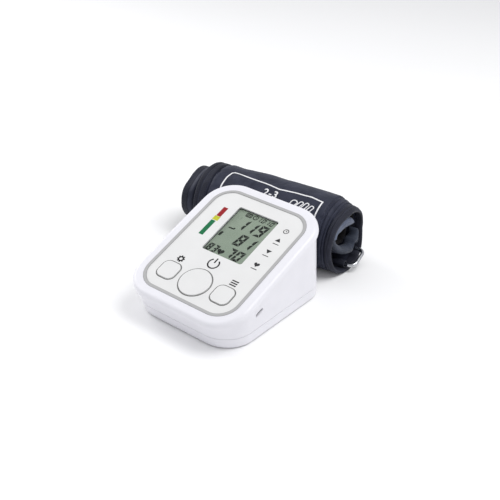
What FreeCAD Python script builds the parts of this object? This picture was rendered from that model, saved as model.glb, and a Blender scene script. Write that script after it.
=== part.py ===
"""Upper-arm blood pressure monitor with its rolled cuff, as separate pieces.

Row frame: origin on the table under the middle of the monitor's base, +X to the right
of someone reading the display, +Y to the back, +Z up. Millimetres and degrees.
The panel frame has its origin at the middle of the sloping panel, its Z along the
panel's outward normal. The cuff frame has its origin on the table at the right end
of the roll, its X along the roll towards that end.
"""
import FreeCAD, Part
import Sketcher
import math
import os
import re

Vector = FreeCAD.Vector
doc = FreeCAD.newDocument("ArmMonitor")
sheet = doc.addObject("Spreadsheet::Sheet", "Sizes")
gauge = doc.addObject("App::VarSet", "Gauge")
gauge.addProperty("App::PropertyFloat", "reading")
nodes = []


# ---------------------------------------------------------------- driving sizes
sizes = {
    "tilt": 21,                 # slope of the panel
    "panel_height": 45.2,       # middle of the panel above the table
    "panel_forward": 11.15,     # middle of the panel ahead of the base's middle
    "lip_width": 98.4,          # panel lip, side to side
    "lip_length": 120.6,        # panel lip, along the slope
    "lip_radius": 24,           # corner of the lip
    "lip_depth": 6,             # thickness of the lip
    "lip_round": 3.4,           # rounding of the lip's upper edge
    "lip_under_round": 1,       # rounding of the lip's lower edge
    "neck_inset": 1.6,          # wall set in under the lip
    "neck_sink": 4.5,           # depth at which the walls run into the lip
    "base_width": 91.2,         # base, side to side
    "base_length": 115.3,       # base, front to back
    "base_radius": 22,          # corner of the base
    "base_round": 1.4,          # rounding of the base's lower edge
    "foot_proud": 0.8,          # case bottom above the table
    "wall": 2.4,                # case wall
    "floor_thick": 2.4,         # floor of the lower case
    "top_plate": 3,             # plate under the overlay, from the lip's face
    "parting_height": 9.6,      # seam of the two shells above the table
    "seam": 0.3,                # shadow gap between the two shells
    "fit_gap": 0.15,            # fixed piece in its recess
    "run_gap": 0.3,             # moving piece in its opening
    "seat_gap": 0.2,            # piece resting near its seat

    "ring_width": 80,           # grey trim ring centre line, side to side
    "ring_length": 102.4,       # grey trim ring centre line, along the slope
    "ring_radius": 15,          # corner of the ring's centre line
    "ring_band": 2.2,           # width of the ring's band
    "ring_thick": 1.2,          # thickness of the ring
    "overlay_thick": 0.8,       # thickness of the printed overlay
    "overlay_sink": 0.2,        # overlay's face below the lip's face

    "window_width": 35.6,       # window in the overlay, side to side
    "window_length": 46,        # window in the overlay, along the slope
    "window_radius": 1.8,       # corner of the window
    "window_u": 1.2,            # middle of the window, to the right
    "window_v": 16.4,           # middle of the window, up the slope
    "lens_border": 1.4,         # lens hidden under the overlay on each side
    "lens_thick": 1,            # thickness of the lens
    "glass_border": 2.2,        # display glass past the window on each side
    "glass_thick": 2.8,         # display glass with its polarisers
    "light_thick": 1.6,         # light guide behind the display glass
    "holder_wall": 1.4,         # wall of the display holder
    "zebra_width": 1.8,         # rubber contact strip

    "board_depth": 10,          # upper face of the main board below the lip's face
    "board_thick": 1.6,         # main board
    "board_width": 62,          # main board, side to side
    "board_length": 98,         # main board, along the slope
    "board_v": -2,              # middle of the main board, up the slope
    "board_radius": 2,          # corner of the main board
    "post_inset": 3.6,          # screw post from the board's edges
    "post_radius": 2.8,         # screw post of the main board
    "small_screw": 1.1,         # thread radius of the small screws
    "small_head": 2.2,          # head radius of the small screws
    "small_head_high": 1.4,     # head height of the small screws
    "chip_size": 10,            # processor on the board, side to side
    "chip_high": 1.6,           # processor's height
    "small_screw_long": 6,      # shank of the small screws

    "power_radius": 11.75,      # big round button
    "side_button": 14.6,        # small square buttons
    "side_button_radius": 4.6,  # corner of the small square buttons
    "button_row_u": 0.4,        # middle of the button row, to the right
    "button_row_v": -34.3,      # middle of the button row, up the slope
    "button_pitch": 24.1,       # small buttons from the big one
    "button_proud": 0.5,        # button above the lip's face
    "button_flange": 1.2,       # button flange past the button
    "flange_gap": 0.1,          # button flange under its plate
    "button_flange_thick": 1,   # thickness of the button flange
    "button_travel": 0.6,       # stroke of a button
    "button_edge": 0.35,        # rounding of a button's rim
    "stem_radius": 2,           # stem under a button
    "switch_width": 6,          # tactile switch
    "switch_high": 3.4,         # tactile switch body
    "dome_radius": 1.7,         # plunger of a tactile switch
    "dome_high": 0.9,           # plunger above the switch body
    "switch_slack": 0.1,        # button stem past its stroke

    "case_post_x": 37.4,        # case screw from the middle
    "case_post_front": 41,      # front case screws ahead of the middle
    "case_post_back": 36,       # rear case screws behind the middle
    "case_post_radius": 3.2,    # case screw post
    "case_screw": 1.4,          # thread radius of the case screws
    "case_head": 2.6,           # head radius of the case screws
    "case_head_high": 1.8,      # head height of the case screws
    "case_screw_long": 9,       # shank of the case screws
    "head_recess": 1.6,         # screw head above the case bottom
    "screw_grip": 3.4,          # floor post above the screw head
    "screw_clear": 0.2,         # clearance hole round a screw
    "post_wall": 1.2,           # floor post round a screw head

    "foot_radius": 4,           # rubber foot
    "foot_thick": 1.6,          # rubber foot's thickness
    "foot_front_x": 24,         # front feet from the middle
    "foot_back_x": 27,          # rear feet from the middle
    "foot_front": 48,           # front feet ahead of the middle
    "foot_back": 50,            # rear feet behind the middle

    "cell_radius": 7.2,         # battery cell
    "cell_length": 49.2,        # battery cell without its button
    "cell_button": 1.2,         # button on the cell
    "cell_button_radius": 2.6,  # radius of the cell's button
    "cell_pitch": 15,           # cell to cell
    "bay_y": 15,                # middle of the battery bay
    "bay_side": 0.9,            # bay wall from the outer cells
    "bay_end": 3.2,             # bay wall from the ends of the cells
    "bay_wall": 1.6,            # wall of the battery bay
    "bay_head": 0.4,            # bay roof above the cells
    "cover_thick": 2,           # battery cover
    "cover_pin": 0.6,           # radius of the cover's pivot pins
    "cover_pin_long": 1.6,      # length of the cover's pivot pins
    "pin_clear": 0.08,          # clearance round the pivot pins
    "contact_thick": 0.4,       # contact plate
    "contact_high": 11,         # height of the contact plates
    "contact_span": 11,         # width of one contact face
    "spring_wire": 0.4,         # radius of the contact spring's wire
    "spring_radius": 3.6,       # radius of the contact springs
    "spring_turns": 2,          # turns of the contact springs

    "pump_radius": 11.4,        # pump motor
    "pump_length": 30,          # pump motor
    "head_radius": 12,          # pump head
    "head_length": 25,          # pump head
    "pump_y": 28,               # pump axis behind the middle
    "pump_right": 24,           # pump's right end
    "nozzle_radius": 1.9,       # air nozzles
    "nozzle_long": 4,           # air nozzles
    "saddle_width": 8,          # foam saddle under the pump
    "saddle_length": 18,        # foam saddle, front to back
    "saddle_high": 4.6,         # foam saddle's height at its ends
    "saddle_floor": 1.5,        # foam under the pump head
    "tube_radius": 2.9,         # air tube, outside
    "tube_bend": 5,             # bend of the air tubes
    "valve_long": 16,           # air release valve, side to side
    "valve_wide": 12,           # air release valve, front to back
    "valve_high": 12,           # air release valve
    "valve_x": -18,             # middle of the air release valve
    "valve_y": -22.5,           # middle of the air release valve
    "tee_long": 14,             # air junction block, side to side
    "tee_wide": 8,              # air junction block, front to back
    "tee_high": 10,             # air junction block
    "sensor_width": 8,          # pressure sensor
    "sensor_high": 4,           # pressure sensor
    "sensor_v": -33,            # pressure sensor, up the slope
    "speaker_radius": 9,        # speaker
    "speaker_high": 4,          # speaker
    "speaker_x": 21,            # middle of the speaker
    "speaker_y": -36,           # middle of the speaker
    "slot_width": 1.2,          # speaker slot
    "slot_pitch": 3,            # speaker slot to speaker slot

    "air_bore": 2.4,            # air socket's bore radius
    "air_outer": 4.6,           # air socket's flange radius
    "air_barrel": 3.8,          # air socket's barrel radius
    "air_barrel_long": 13,      # air socket's barrel
    "air_flange": 1.4,          # air socket's flange
    "air_proud": 0.7,           # air socket's flange proud of the wall
    "air_nut": 2,               # nut behind the air socket
    "air_channel": 0.9,         # air channel's radius
    "air_z": 24,                # air socket above the table
    "usb_y": -31,               # power socket along the side
    "usb_z": 23,                # power socket above the table
    "usb_wide": 8,              # power socket, along the slope
    "usb_high": 2.9,            # power socket, across the slope
    "usb_deep": 6,              # power socket, into the case
    "usb_wall": 0.5,            # shell of the power socket

    "cuff_right": 39.6,         # right end of the roll, to the right
    "cuff_clear": 0.25,         # roll from the case's back wall
    "cuff_yaw": 8,              # turn of the roll on the table
    "wrap_length": 125,         # outer wrap of the roll
    "wrap_depth": 56,           # outer wrap, front to back
    "wrap_height": 58,          # outer wrap above the table
    "wrap_square": 2,           # half of the flat left between the outer wrap's corners
    "wrap_thick": 2.6,          # cloth and foam of the outer wrap
    "binding_width": 2,         # bound edge
    "turn_past": 13,            # inner turn past the outer wrap's left end
    "turn_short": 2,            # inner turn inside the right end
    "turn_behind": 5,           # inner turn from the outer wrap, at the back
    "turn_below": 7.4,          # inner turn from the outer wrap, at the bottom
    "turn_square": 0.3,         # half of the flat left between the inner turn's corners
    "cloth_thick": 1.5,         # nylon with its foam backing
    "bladder_thick": 3,         # air bladder, slack
    "bladder_inset": 9,         # bladder from the cloth's ends
    "layer_gap": 0.3,           # layer to layer in the roll
    "turn_gap": 0.8,            # inner turn from the outer wrap, at the top and the front
    "tail_thick": 3,            # free end folded inside the roll
    "ring_wire": 1.5,           # radius of the tension ring's wire
    "ring_past": 8,             # tension ring past the right end
    "ring_past_left": 5,        # tension ring past the left end
    "ring_span": 19.8,          # wire to wire in the tension ring
    "ring_corner": 5,           # corner of the tension ring
    "ring_slope": 16,           # slope of the tension ring at rest
    "hem_wall": 1.2,            # cloth round the tension ring's wire
    "hem_y": -2,                # hem, behind the middle of the roll
    "hook_rise": 9,             # edge of the hook tape's arc, ahead of the wrap's back
    "hook_thick": 1,            # hook tape
    "port_radius": 3,           # hose port's collar on the cuff
    "port_long": 6,             # hose port's collar
}
for row, (alias, value) in enumerate(sizes.items(), 1):
    sheet.set(f"A{row}", alias)
    sheet.set(f"B{row}", str(value))
    sheet.setAlias(f"B{row}", alias)
doc.recompute()

alias_word = re.compile(r"\b[a-z][a-z_]*[a-z]\b(?!\()")


def linked(formula):
    """Turn the sheet's words in a formula into references to its cells."""
    return alias_word.sub(lambda hit: "Sizes." + hit.group() if hit.group() in sizes else hit.group(),
                          str(formula))


def bind(thing, path, formula):
    thing.setExpression(path, linked(formula))


def mm(formula):
    """Read a formula of sheet sizes as a number."""
    gauge.setExpression("reading", linked(formula))
    gauge.recompute()
    return gauge.reading


# ---------------------------------------------------------------- frames
def in_panel(thing):
    """Stand a piece in the panel frame."""
    thing.Placement = FreeCAD.Placement(Vector(), FreeCAD.Rotation(Vector(1, 0, 0), 10))
    bind(thing, "Placement.Rotation.Angle", "tilt")
    bind(thing, "Placement.Base.y", "-panel_forward")
    bind(thing, "Placement.Base.z", "panel_height")


# The roll lies against the back wall of the case, near the wall's right corner.
neck_back = "lip_length / 2 - neck_inset"
neck_y = f"({neck_back}) * cos(tilt) + neck_sink * sin(tilt) - panel_forward"
neck_z = f"panel_height + ({neck_back}) * sin(tilt) - neck_sink * cos(tilt)"
touch_z = "0.36 * wrap_height"
case_back = (f"base_length / 2 - (base_length / 2 - ({neck_y})) * ({touch_z} - foot_proud)"
             f" / ({neck_z} - foot_proud)")
cuff_back = (f"{case_back} + cuff_clear + wrap_depth / 2 / cos(cuff_yaw)"
             " + (cuff_right + base_width / 2 - base_radius) * tan(cuff_yaw)")


def in_cuff(thing):
    """Stand a piece in the cuff frame."""
    thing.Placement = FreeCAD.Placement(Vector(), FreeCAD.Rotation(Vector(0, 0, 1), 10))
    bind(thing, "Placement.Rotation.Angle", "cuff_yaw")
    bind(thing, "Placement.Base.x", "cuff_right")
    bind(thing, "Placement.Base.y", cuff_back)


def keep(thing):
    """Record a finished sub-part, whose Label names its node."""
    nodes.append(thing)
    return thing


# ---------------------------------------------------------------- sketches and features
def new_body(label, frame=None):
    body = doc.addObject("PartDesign::Body", label)
    if frame:
        frame(body)
    return keep(body)


def sketch(body, plane="XY", x="0", y="0", z="0", lean=None, about=Vector(1, 0, 0)):
    """Add a sketch, x, y and z being measured along the plane's own axes."""
    made = body.newObject("Sketcher::SketchObject", body.Label + "_sketch")
    role = plane + "_Plane"
    made.AttachmentSupport = [(next(p for p in body.Origin.OriginFeatures if p.Role == role), "")]
    made.MapMode = "FlatFace"
    if lean:
        made.AttachmentOffset = FreeCAD.Placement(Vector(), FreeCAD.Rotation(about, 10))
        bind(made, "AttachmentOffset.Rotation.Angle", lean)
    bind(made, "AttachmentOffset.Base.x", x)
    bind(made, "AttachmentOffset.Base.y", y)
    bind(made, "AttachmentOffset.Base.z", z)
    return made


def dimension(made, kind, *geometry, value, name):
    """Add a named driving dimension bound to a formula."""
    index = made.addConstraint(Sketcher.Constraint(kind, *geometry, mm(value)))
    made.renameConstraint(index, name)
    bind(made, "Constraints." + name, value)


def circle(made, radius):
    centre = Part.Circle(Vector(0, 0, 0), Vector(0, 0, 1), mm(radius))
    made.addGeometry(centre, False)
    made.addConstraint(Sketcher.Constraint("Coincident", 0, 3, -1, 1))
    dimension(made, "Radius", 0, value=radius, name="radius")
    return made


def rounded(made, width, length, radius):
    """Draw a centred rectangle with round corners: four sides, then four corners."""
    first = made.GeometryCount
    x, y, r = mm(width) / 2, mm(length) / 2, mm(radius)
    sides = [(-x + r, -y, x - r, -y), (x, -y + r, x, y - r), (x - r, y, -x + r, y), (-x, y - r, -x, -y + r)]
    for x_start, y_start, x_end, y_end in sides:
        made.addGeometry(Part.LineSegment(Vector(x_start, y_start, 0), Vector(x_end, y_end, 0)), False)
    for step, (x_sign, y_sign) in enumerate(((1, -1), (1, 1), (-1, 1), (-1, -1))):
        corner = Part.Circle(Vector(x_sign * (x - r), y_sign * (y - r), 0), Vector(0, 0, 1), r)
        start = (step - 1) * math.pi / 2
        made.addGeometry(Part.ArcOfCircle(corner, start, start + math.pi / 2), False)
    for step in range(4):
        side, corner, following = first + step, first + 4 + step, first + (step + 1) % 4
        made.addConstraint(Sketcher.Constraint("Tangent", side, 2, corner, 1))
        made.addConstraint(Sketcher.Constraint("Tangent", corner, 2, following, 1))
        made.addConstraint(Sketcher.Constraint("Vertical" if step % 2 else "Horizontal", side))
    for step in range(3):
        made.addConstraint(Sketcher.Constraint("Equal", first + 4 + step, first + 5 + step))
    made.addConstraint(Sketcher.Constraint("Symmetric", first + 5, 3, first + 7, 3, -1, 1))
    tag = "" if first == 0 else "_in"
    dimension(made, "Radius", first + 4, value=radius, name="radius" + tag)
    dimension(made, "DistanceX", first + 3, 1, first + 1, 1, value=width, name="across" + tag)
    dimension(made, "DistanceY", first, 1, first + 2, 1, value=length, name="along" + tag)
    return made


def feature(body, kind, outline, length, flip):
    made = body.newObject("PartDesign::" + kind, f"{body.Label}_{kind.lower()}")
    made.Profile = outline
    bind(made, "Length", length)
    made.Reversed = flip
    outline.Visibility = False
    return made


def slab(body, width, length, radius, low, high, x="0", y="0", plane="XY"):
    """Add a block with round corners between two levels of the plane's normal."""
    outline = rounded(sketch(body, plane, x, y, low), width, length, radius)
    return feature(body, "Pad", outline, f"({high}) - ({low})", False)


def well(body, width, length, radius, low, high, x="0", y="0", plane="XY"):
    """Cut a recess with round corners between two levels of the plane's normal."""
    outline = rounded(sketch(body, plane, x, y, high), width, length, radius)
    return feature(body, "Pocket", outline, f"({high}) - ({low})", False)


def rod(body, radius, low, high, x="0", y="0", plane="XY"):
    outline = circle(sketch(body, plane, x, y, low), radius)
    return feature(body, "Pad", outline, f"({high}) - ({low})", False)


def hole(body, radius, low, high, x="0", y="0", plane="XY"):
    outline = circle(sketch(body, plane, x, y, high), radius)
    return feature(body, "Pocket", outline, f"({high}) - ({low})", False)


def loft(body, kind, first, last):
    made = body.newObject("PartDesign::" + kind, f"{body.Label}_{kind.lower()}")
    made.Profile = first
    made.Sections = [last]
    made.Ruled = True
    return made


def soften(body, radius, test):
    """Round the edges of the body's last feature that pass the test."""
    doc.recompute()
    last = body.Tip
    names = [f"Edge{n}" for n, edge in enumerate(last.Shape.Edges, 1) if test(edge)]
    made = body.newObject("PartDesign::Fillet", body.Label + "_round")
    made.Base = (last, names)
    bind(made, "Radius", radius)
    return made


def edge_middle(edge):
    return edge.valueAt((edge.FirstParameter + edge.LastParameter) / 2)


# ---------------------------------------------------------------- Part primitives
def bound(kind, label, x="0", y="0", z="0", turn=None, **sizes):
    """Add a Part primitive with its sizes and place bound to the sheet."""
    made = doc.addObject("Part::" + kind, label)
    if turn:
        made.Placement = FreeCAD.Placement(Vector(), FreeCAD.Rotation(turn[0], turn[1]))
    for name, formula in sizes.items():
        bind(made, name, formula)
    bind(made, "Placement.Base.x", x)
    bind(made, "Placement.Base.y", y)
    bind(made, "Placement.Base.z", z)
    return made


ALONG_X = (Vector(0, 1, 0), 90)
ALONG_Y = (Vector(1, 0, 0), -90)


def box(label, x_size, y_size, z_size, x="0", y="0", z="0"):
    """Block centred on x and y, standing on z."""
    return bound("Box", label, f"({x}) - ({x_size}) / 2", f"({y}) - ({y_size}) / 2", z,
                 Length=x_size, Width=y_size, Height=z_size)


def cylinder(label, radius, height, x="0", y="0", z="0", turn=None):
    return bound("Cylinder", label, x, y, z, turn, Radius=radius, Height=height)


def fuse(label, *shapes):
    made = doc.addObject("Part::MultiFuse", label)
    made.Shapes = list(shapes)
    return made


def cut(label, base, tool):
    made = doc.addObject("Part::Cut", label)
    made.Base = base
    made.Tool = tool
    return made


def group(label, members, frame=None):
    """Several separate solids of one kind in one node."""
    made = doc.addObject("Part::Compound", label)
    made.Links = list(members)
    if frame:
        frame(made)
    return keep(made)


# ---------------------------------------------------------------- shared places
overlay_width = "ring_width - ring_band - 2 * fit_gap"
overlay_length = "ring_length - ring_band - 2 * fit_gap"
overlay_radius = "ring_radius - ring_band / 2 - fit_gap"
overlay_floor = "-overlay_sink - overlay_thick"
lens_floor = "-overlay_sink - overlay_thick - lens_thick"
board_top = "-board_depth"
board_floor = "-board_depth - board_thick"
board_posts = [(f"{side} * (board_width / 2 - post_inset)",
                f"board_v + {end} * (board_length / 2 - post_inset)")
               for side in (-1, 1) for end in (-1, 1)]
case_posts = [(f"{side} * case_post_x", place) for side in (-1, 1)
              for place in ("-case_post_front", "case_post_back")]
feet = [(f"{side} * {across}", place) for side in (-1, 1)
        for across, place in (("foot_front_x", "-foot_front"), ("foot_back_x", "foot_back"))]
screw_seat = "foot_proud + head_recess + case_head_high"
lower_post_top = "foot_proud + head_recess + case_head_high + screw_grip"
floor_top = "foot_proud + floor_thick"
bay_width = "3 * cell_pitch + 2 * cell_radius + 2 * bay_side"
bay_length = "cell_length + 2 * bay_end"
bay_roof = "foot_proud + cover_thick + seat_gap + 2 * cell_radius + bay_head"
cover_axis_y = "bay_y - cell_length / 2 - bay_end + run_gap + cover_thick / 2"
cover_axis_z = "foot_proud + cover_thick / 2"
air_y = "valve_y"
buttons = {"left_button": "button_row_u - button_pitch", "power_button": "button_row_u",
           "right_button": "button_row_u + button_pitch"}


def button_outline(label, grow):
    """Width, length and corner radius of a button grown on every side."""
    if label == "power_button":
        return f"2 * (power_radius + {grow})", f"2 * (power_radius + {grow})", f"power_radius + {grow} - 0.01"
    return f"side_button + 2 * ({grow})", f"side_button + 2 * ({grow})", f"side_button_radius + {grow}"


def side_x(y, z):
    """Half width of the case at a place on its side wall."""
    return (f"base_width / 2 + (lip_width / 2 - neck_inset - base_width / 2) * (({z}) - foot_proud)"
            f" / (panel_height + (({y}) + panel_forward) * tan(tilt) - neck_sink / cos(tilt) - foot_proud)")


def on_panel(u="0", v="0", n="0"):
    """Place of a sketch parallel to the panel, in a body that stands in the row frame."""
    return {"x": u, "y": f"-panel_forward + ({v}) * cos(tilt) - ({n}) * sin(tilt)",
            "z": f"panel_height + ({v}) * sin(tilt) + ({n}) * cos(tilt)", "lean": "tilt"}


def depth_below_panel(point):
    """Distance of a point below the lip's face, along the panel's normal."""
    level = FreeCAD.Rotation(Vector(1, 0, 0), -mm("tilt"))
    return -level.multVec(point - Vector(0, -mm("panel_forward"), mm("panel_height"))).z


def panel_well(case, width, length, radius, low, high, u="0", v="0"):
    """Cut a recess between two levels of the panel's normal."""
    outline = rounded(sketch(case, **on_panel(u, v, high)), width, length, radius)
    return feature(case, "Pocket", outline, f"({high}) - ({low})", False)


# ---------------------------------------------------------------- the two shells
def wedge(case, kind, inset, sink, low):
    """Rule a wall from the base outline up to the outline under the lip."""
    foot = rounded(sketch(case, z=low), f"base_width - 2 * ({inset})", f"base_length - 2 * ({inset})",
                   f"base_radius - ({inset})")
    neck = rounded(sketch(case, **on_panel(n=f"-({sink})")), f"lip_width - 2 * (neck_inset + {inset})",
                   f"lip_length - 2 * (neck_inset + {inset})", f"lip_radius - neck_inset - ({inset})")
    return loft(case, kind, foot, neck)


# Upper shell: the lip with its rounded rim, the leaning walls, the recess for the
# trim ring and the overlay, the lens ledge, the button openings, the posts for the
# board and the case screws, and the openings for the two sockets.
upper_case = new_body("upper_case")
lip = rounded(sketch(upper_case, **on_panel(n="-lip_depth")), "lip_width", "lip_length", "lip_radius")
feature(upper_case, "Pad", lip, "lip_depth", False)
soften(upper_case, "lip_round", lambda edge: abs(depth_below_panel(edge_middle(edge))) < 0.01)
soften(upper_case, "lip_under_round",
       lambda edge: abs(depth_below_panel(edge_middle(edge)) - mm("lip_depth")) < 0.01)
wedge(upper_case, "AdditiveLoft", "0", "neck_sink", "foot_proud")
wedge(upper_case, "SubtractiveLoft", "wall", "top_plate", "foot_proud - wall")
well(upper_case, "2 * lip_width", "2 * lip_length", "base_radius", "-wall", "parting_height + seam / 2")
for u, v in board_posts:
    post = circle(sketch(upper_case, **on_panel(u, v, board_top)), "post_radius")
    feature(upper_case, "Pad", post, "board_depth - top_plate + fit_gap", False)
    drilled = circle(sketch(upper_case, **on_panel(u, v, "small_screw_long - board_depth")), "small_screw")
    feature(upper_case, "Pocket", drilled, "small_screw_long", False)
for x, y in case_posts:
    rod(upper_case, "case_post_radius", f"{lower_post_top} + seam",
        f"panel_height + ({y} + panel_forward) * tan(tilt) - top_plate", x, y)
    hole(upper_case, "case_screw", lower_post_top, f"{screw_seat} + case_screw_long + run_gap", x, y)
panel_well(upper_case, "ring_width + ring_band + 2 * fit_gap", "ring_length + ring_band + 2 * fit_gap",
           "ring_radius + ring_band / 2 + fit_gap", overlay_floor, "run_gap")
panel_well(upper_case, "window_width + 2 * lens_border + 2 * fit_gap",
           "window_length + 2 * lens_border + 2 * fit_gap", "window_radius + lens_border",
           lens_floor, overlay_floor, "window_u", "window_v")
panel_well(upper_case, "window_width + 2 * run_gap", "window_length + 2 * run_gap", "window_radius + run_gap",
           "-top_plate - wall", lens_floor, "window_u", "window_v")
for label, u in buttons.items():
    panel_well(upper_case, *button_outline(label, "run_gap"), "-top_plate - wall", overlay_floor,
               u, "button_row_v")
hole(upper_case, "air_barrel + fit_gap", f"-({side_x(air_y, 'air_z')}) - wall", "-base_width / 2 + 2 * wall",
     air_y, "air_z", "YZ")
hole(upper_case, "air_outer + fit_gap", f"-({side_x(air_y, 'air_z')}) - wall",
     f"air_flange - air_proud - ({side_x(air_y, 'air_z')})", air_y, "air_z", "YZ")
socket_cut = rounded(sketch(upper_case, "YZ", "usb_y", "usb_z", f"{side_x('usb_y', 'usb_z')} + wall",
                            lean="tilt", about=Vector(0, 0, 1)),
                     "usb_wide + 2 * fit_gap", "usb_high + 2 * fit_gap", "usb_high / 2 + fit_gap - 0.01")
feature(upper_case, "Pocket", socket_cut, "3 * wall", False)

# Lower shell: the foot of the walls, the floor, the tub of the battery bay, the screw
# posts, the speaker's slots and the round seats of the feet.
lower_case = new_body("lower_case")
wedge(lower_case, "AdditiveLoft", "0", "neck_sink", "foot_proud")
well(lower_case, "2 * lip_width", "2 * lip_length", "base_radius", "parting_height - seam / 2",
     "2 * panel_height")
soften(lower_case, "base_round",
       lambda edge: all(abs(end.Point.z - mm("foot_proud")) < 0.01 for end in edge.Vertexes))
wedge(lower_case, "SubtractiveLoft", "wall", "top_plate", "foot_proud - wall")
slab(lower_case, "base_width - wall", "base_length - 2 * wall", "base_radius - wall / 2",
     "foot_proud", floor_top)
slab(lower_case, f"{bay_width} + 2 * bay_wall", f"{bay_length} + 2 * bay_wall", "bay_wall",
     "foot_proud", f"{bay_roof} + bay_wall", y="bay_y")
for x, y in case_posts:
    rod(lower_case, "case_head + run_gap + post_wall", floor_top, lower_post_top, x, y)
well(lower_case, bay_width, bay_length, "fit_gap", "-wall", bay_roof, y="bay_y")
for x, y in case_posts:
    hole(lower_case, "case_screw + screw_clear", "-wall", f"{lower_post_top} + wall", x, y)
    hole(lower_case, "case_head + run_gap", "-wall", screw_seat, x, y)
for x, y in feet:
    hole(lower_case, "foot_radius + fit_gap", "-wall", "foot_thick", x, y)
hole(lower_case, "cover_pin + pin_clear", f"-({bay_width}) / 2 - cover_pin_long",
     f"({bay_width}) / 2 + cover_pin_long", cover_axis_y, cover_axis_z, "YZ")
for step in (-2, -1, 0, 1, 2):
    well(lower_case, "slot_width", f"1.3 * speaker_radius - {abs(step)} * slot_pitch / 2",
         "slot_width / 2 - 0.01", "-wall", f"{floor_top} + seam", f"speaker_x + {step} * slot_pitch",
         "speaker_y")

# ---------------------------------------------------------------- panel trim and display
trim_ring = new_body("trim_ring", in_panel)
slab(trim_ring, "ring_width + ring_band", "ring_length + ring_band", "ring_radius + ring_band / 2",
     overlay_floor, f"{overlay_floor} + ring_thick")
well(trim_ring, "ring_width - ring_band", "ring_length - ring_band", "ring_radius - ring_band / 2",
     f"{overlay_floor} - wall", "ring_thick")

overlay = new_body("panel_overlay", in_panel)
slab(overlay, overlay_width, overlay_length, overlay_radius, overlay_floor, "-overlay_sink")
well(overlay, "window_width", "window_length", "window_radius", "-top_plate", "wall", "window_u", "window_v")
for label, u in buttons.items():
    well(overlay, *button_outline(label, "run_gap"), "-top_plate", "wall", u, "button_row_v")

lens = new_body("display_lens", in_panel)
slab(lens, "window_width + 2 * lens_border", "window_length + 2 * lens_border", "window_radius + lens_border",
     lens_floor, overlay_floor, "window_u", "window_v")

glass_width = "window_width + 2 * glass_border"
glass_length = "window_length + 2 * glass_border"
glass_top = "-top_plate - seat_gap"
glass_floor = "-top_plate - seat_gap - glass_thick"
light_floor = "-top_plate - seat_gap - glass_thick - light_thick"
display = new_body("display_glass", in_panel)
slab(display, glass_width, glass_length, "seat_gap", glass_floor, glass_top, "window_u", "window_v")

light_guide = new_body("light_guide", in_panel)
slab(light_guide, glass_width, "window_length", "seat_gap", light_floor, glass_floor, "window_u", "window_v")

holder = new_body("display_holder", in_panel)
slab(holder, f"{glass_width} + 2 * fit_gap + 2 * holder_wall",
     f"{glass_length} + 2 * fit_gap + 2 * holder_wall", "holder_wall", board_top, glass_top,
     "window_u", "window_v")
well(holder, f"{glass_width} + 2 * fit_gap", f"{glass_length} + 2 * fit_gap", "fit_gap",
     board_floor, "0", "window_u", "window_v")
slab(holder, f"{glass_width} + holder_wall", "window_length", "seat_gap", board_top, light_floor,
     "window_u", "window_v")

zebra_strips = [box(f"zebra_{number}", "window_width", "zebra_width", f"{glass_floor} - ({board_top})",
                    "window_u", f"window_v + {side} * (window_length + glass_border) / 2", board_top)
                for number, side in enumerate((-1, 1))]
group("contact_strips", zebra_strips, in_panel)

# ---------------------------------------------------------------- main board
board = new_body("main_board", in_panel)
slab(board, "board_width", "board_length", "board_radius", board_floor, board_top, y="board_v")
for u, v in board_posts:
    hole(board, "small_screw + screw_clear", "-2 * board_depth", "0", u, v)

switches = []
for label, u in buttons.items():
    case_block = box(label + "_switch", "switch_width", "switch_width", "switch_high", u, "button_row_v",
                     board_top)
    plunger = cylinder(label + "_plunger", "dome_radius", "switch_high + dome_high", u, "button_row_v",
                       board_top)
    switches.append(fuse(label + "_tactile", case_block, plunger))
group("tactile_switches", switches, in_panel)

# Chips under the board: length, width and height, then the middle's place across and up the slope.
chips = [box(name, length, width, height, u, v, f"{board_floor} - {height}")
         for name, length, width, height, u, v in (
             ("processor", "chip_size", "chip_size", "chip_high", "-chip_size", "chip_size"),
             ("memory", "chip_size / 2", "chip_size / 2", "chip_high", "chip_size", "1.2 * chip_size"),
             ("driver", "chip_size / 2", "chip_size / 2", "chip_high", "-1.4 * chip_size",
              "-0.8 * chip_size"),
             ("crystal", "chip_size", "chip_size / 2", "2 * chip_high", "0.8 * chip_size", "0"),
             ("choke", "0.6 * chip_size", "0.6 * chip_size", "2 * chip_high", "1.8 * chip_size",
              "-0.6 * chip_size"),
             ("plug_socket", "1.4 * chip_size", "chip_size / 2", "2.5 * chip_high", "0", "1.8 * chip_size"))]
group("board_chips", chips, in_panel)

board_screws = []
for number, (u, v) in enumerate(board_posts):
    head = cylinder(f"board_screw_head_{number}", "small_head", "small_head_high", u, v,
                    f"{board_floor} - small_head_high")
    shank = cylinder(f"board_screw_shank_{number}", "small_screw", "small_screw_long", u, v, board_floor)
    board_screws.append(fuse(f"board_screw_{number}", head, shank))
group("board_screws", board_screws, in_panel)

# ---------------------------------------------------------------- buttons
for label, u in buttons.items():
    button = new_body(label, in_panel)
    slab(button, *button_outline(label, "0"), "-top_plate - flange_gap", "button_proud", u, "button_row_v")
    soften(button, "button_edge", lambda edge: abs(edge_middle(edge).z - mm("button_proud")) < 0.01)
    slab(button, *button_outline(label, "button_flange"), "-top_plate - flange_gap - button_flange_thick",
         "-top_plate - flange_gap", u, "button_row_v")
    rod(button, "stem_radius", "-board_depth + switch_high + dome_high + button_travel + switch_slack",
        "-top_plate - flange_gap - button_flange_thick", u, "button_row_v")

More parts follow.
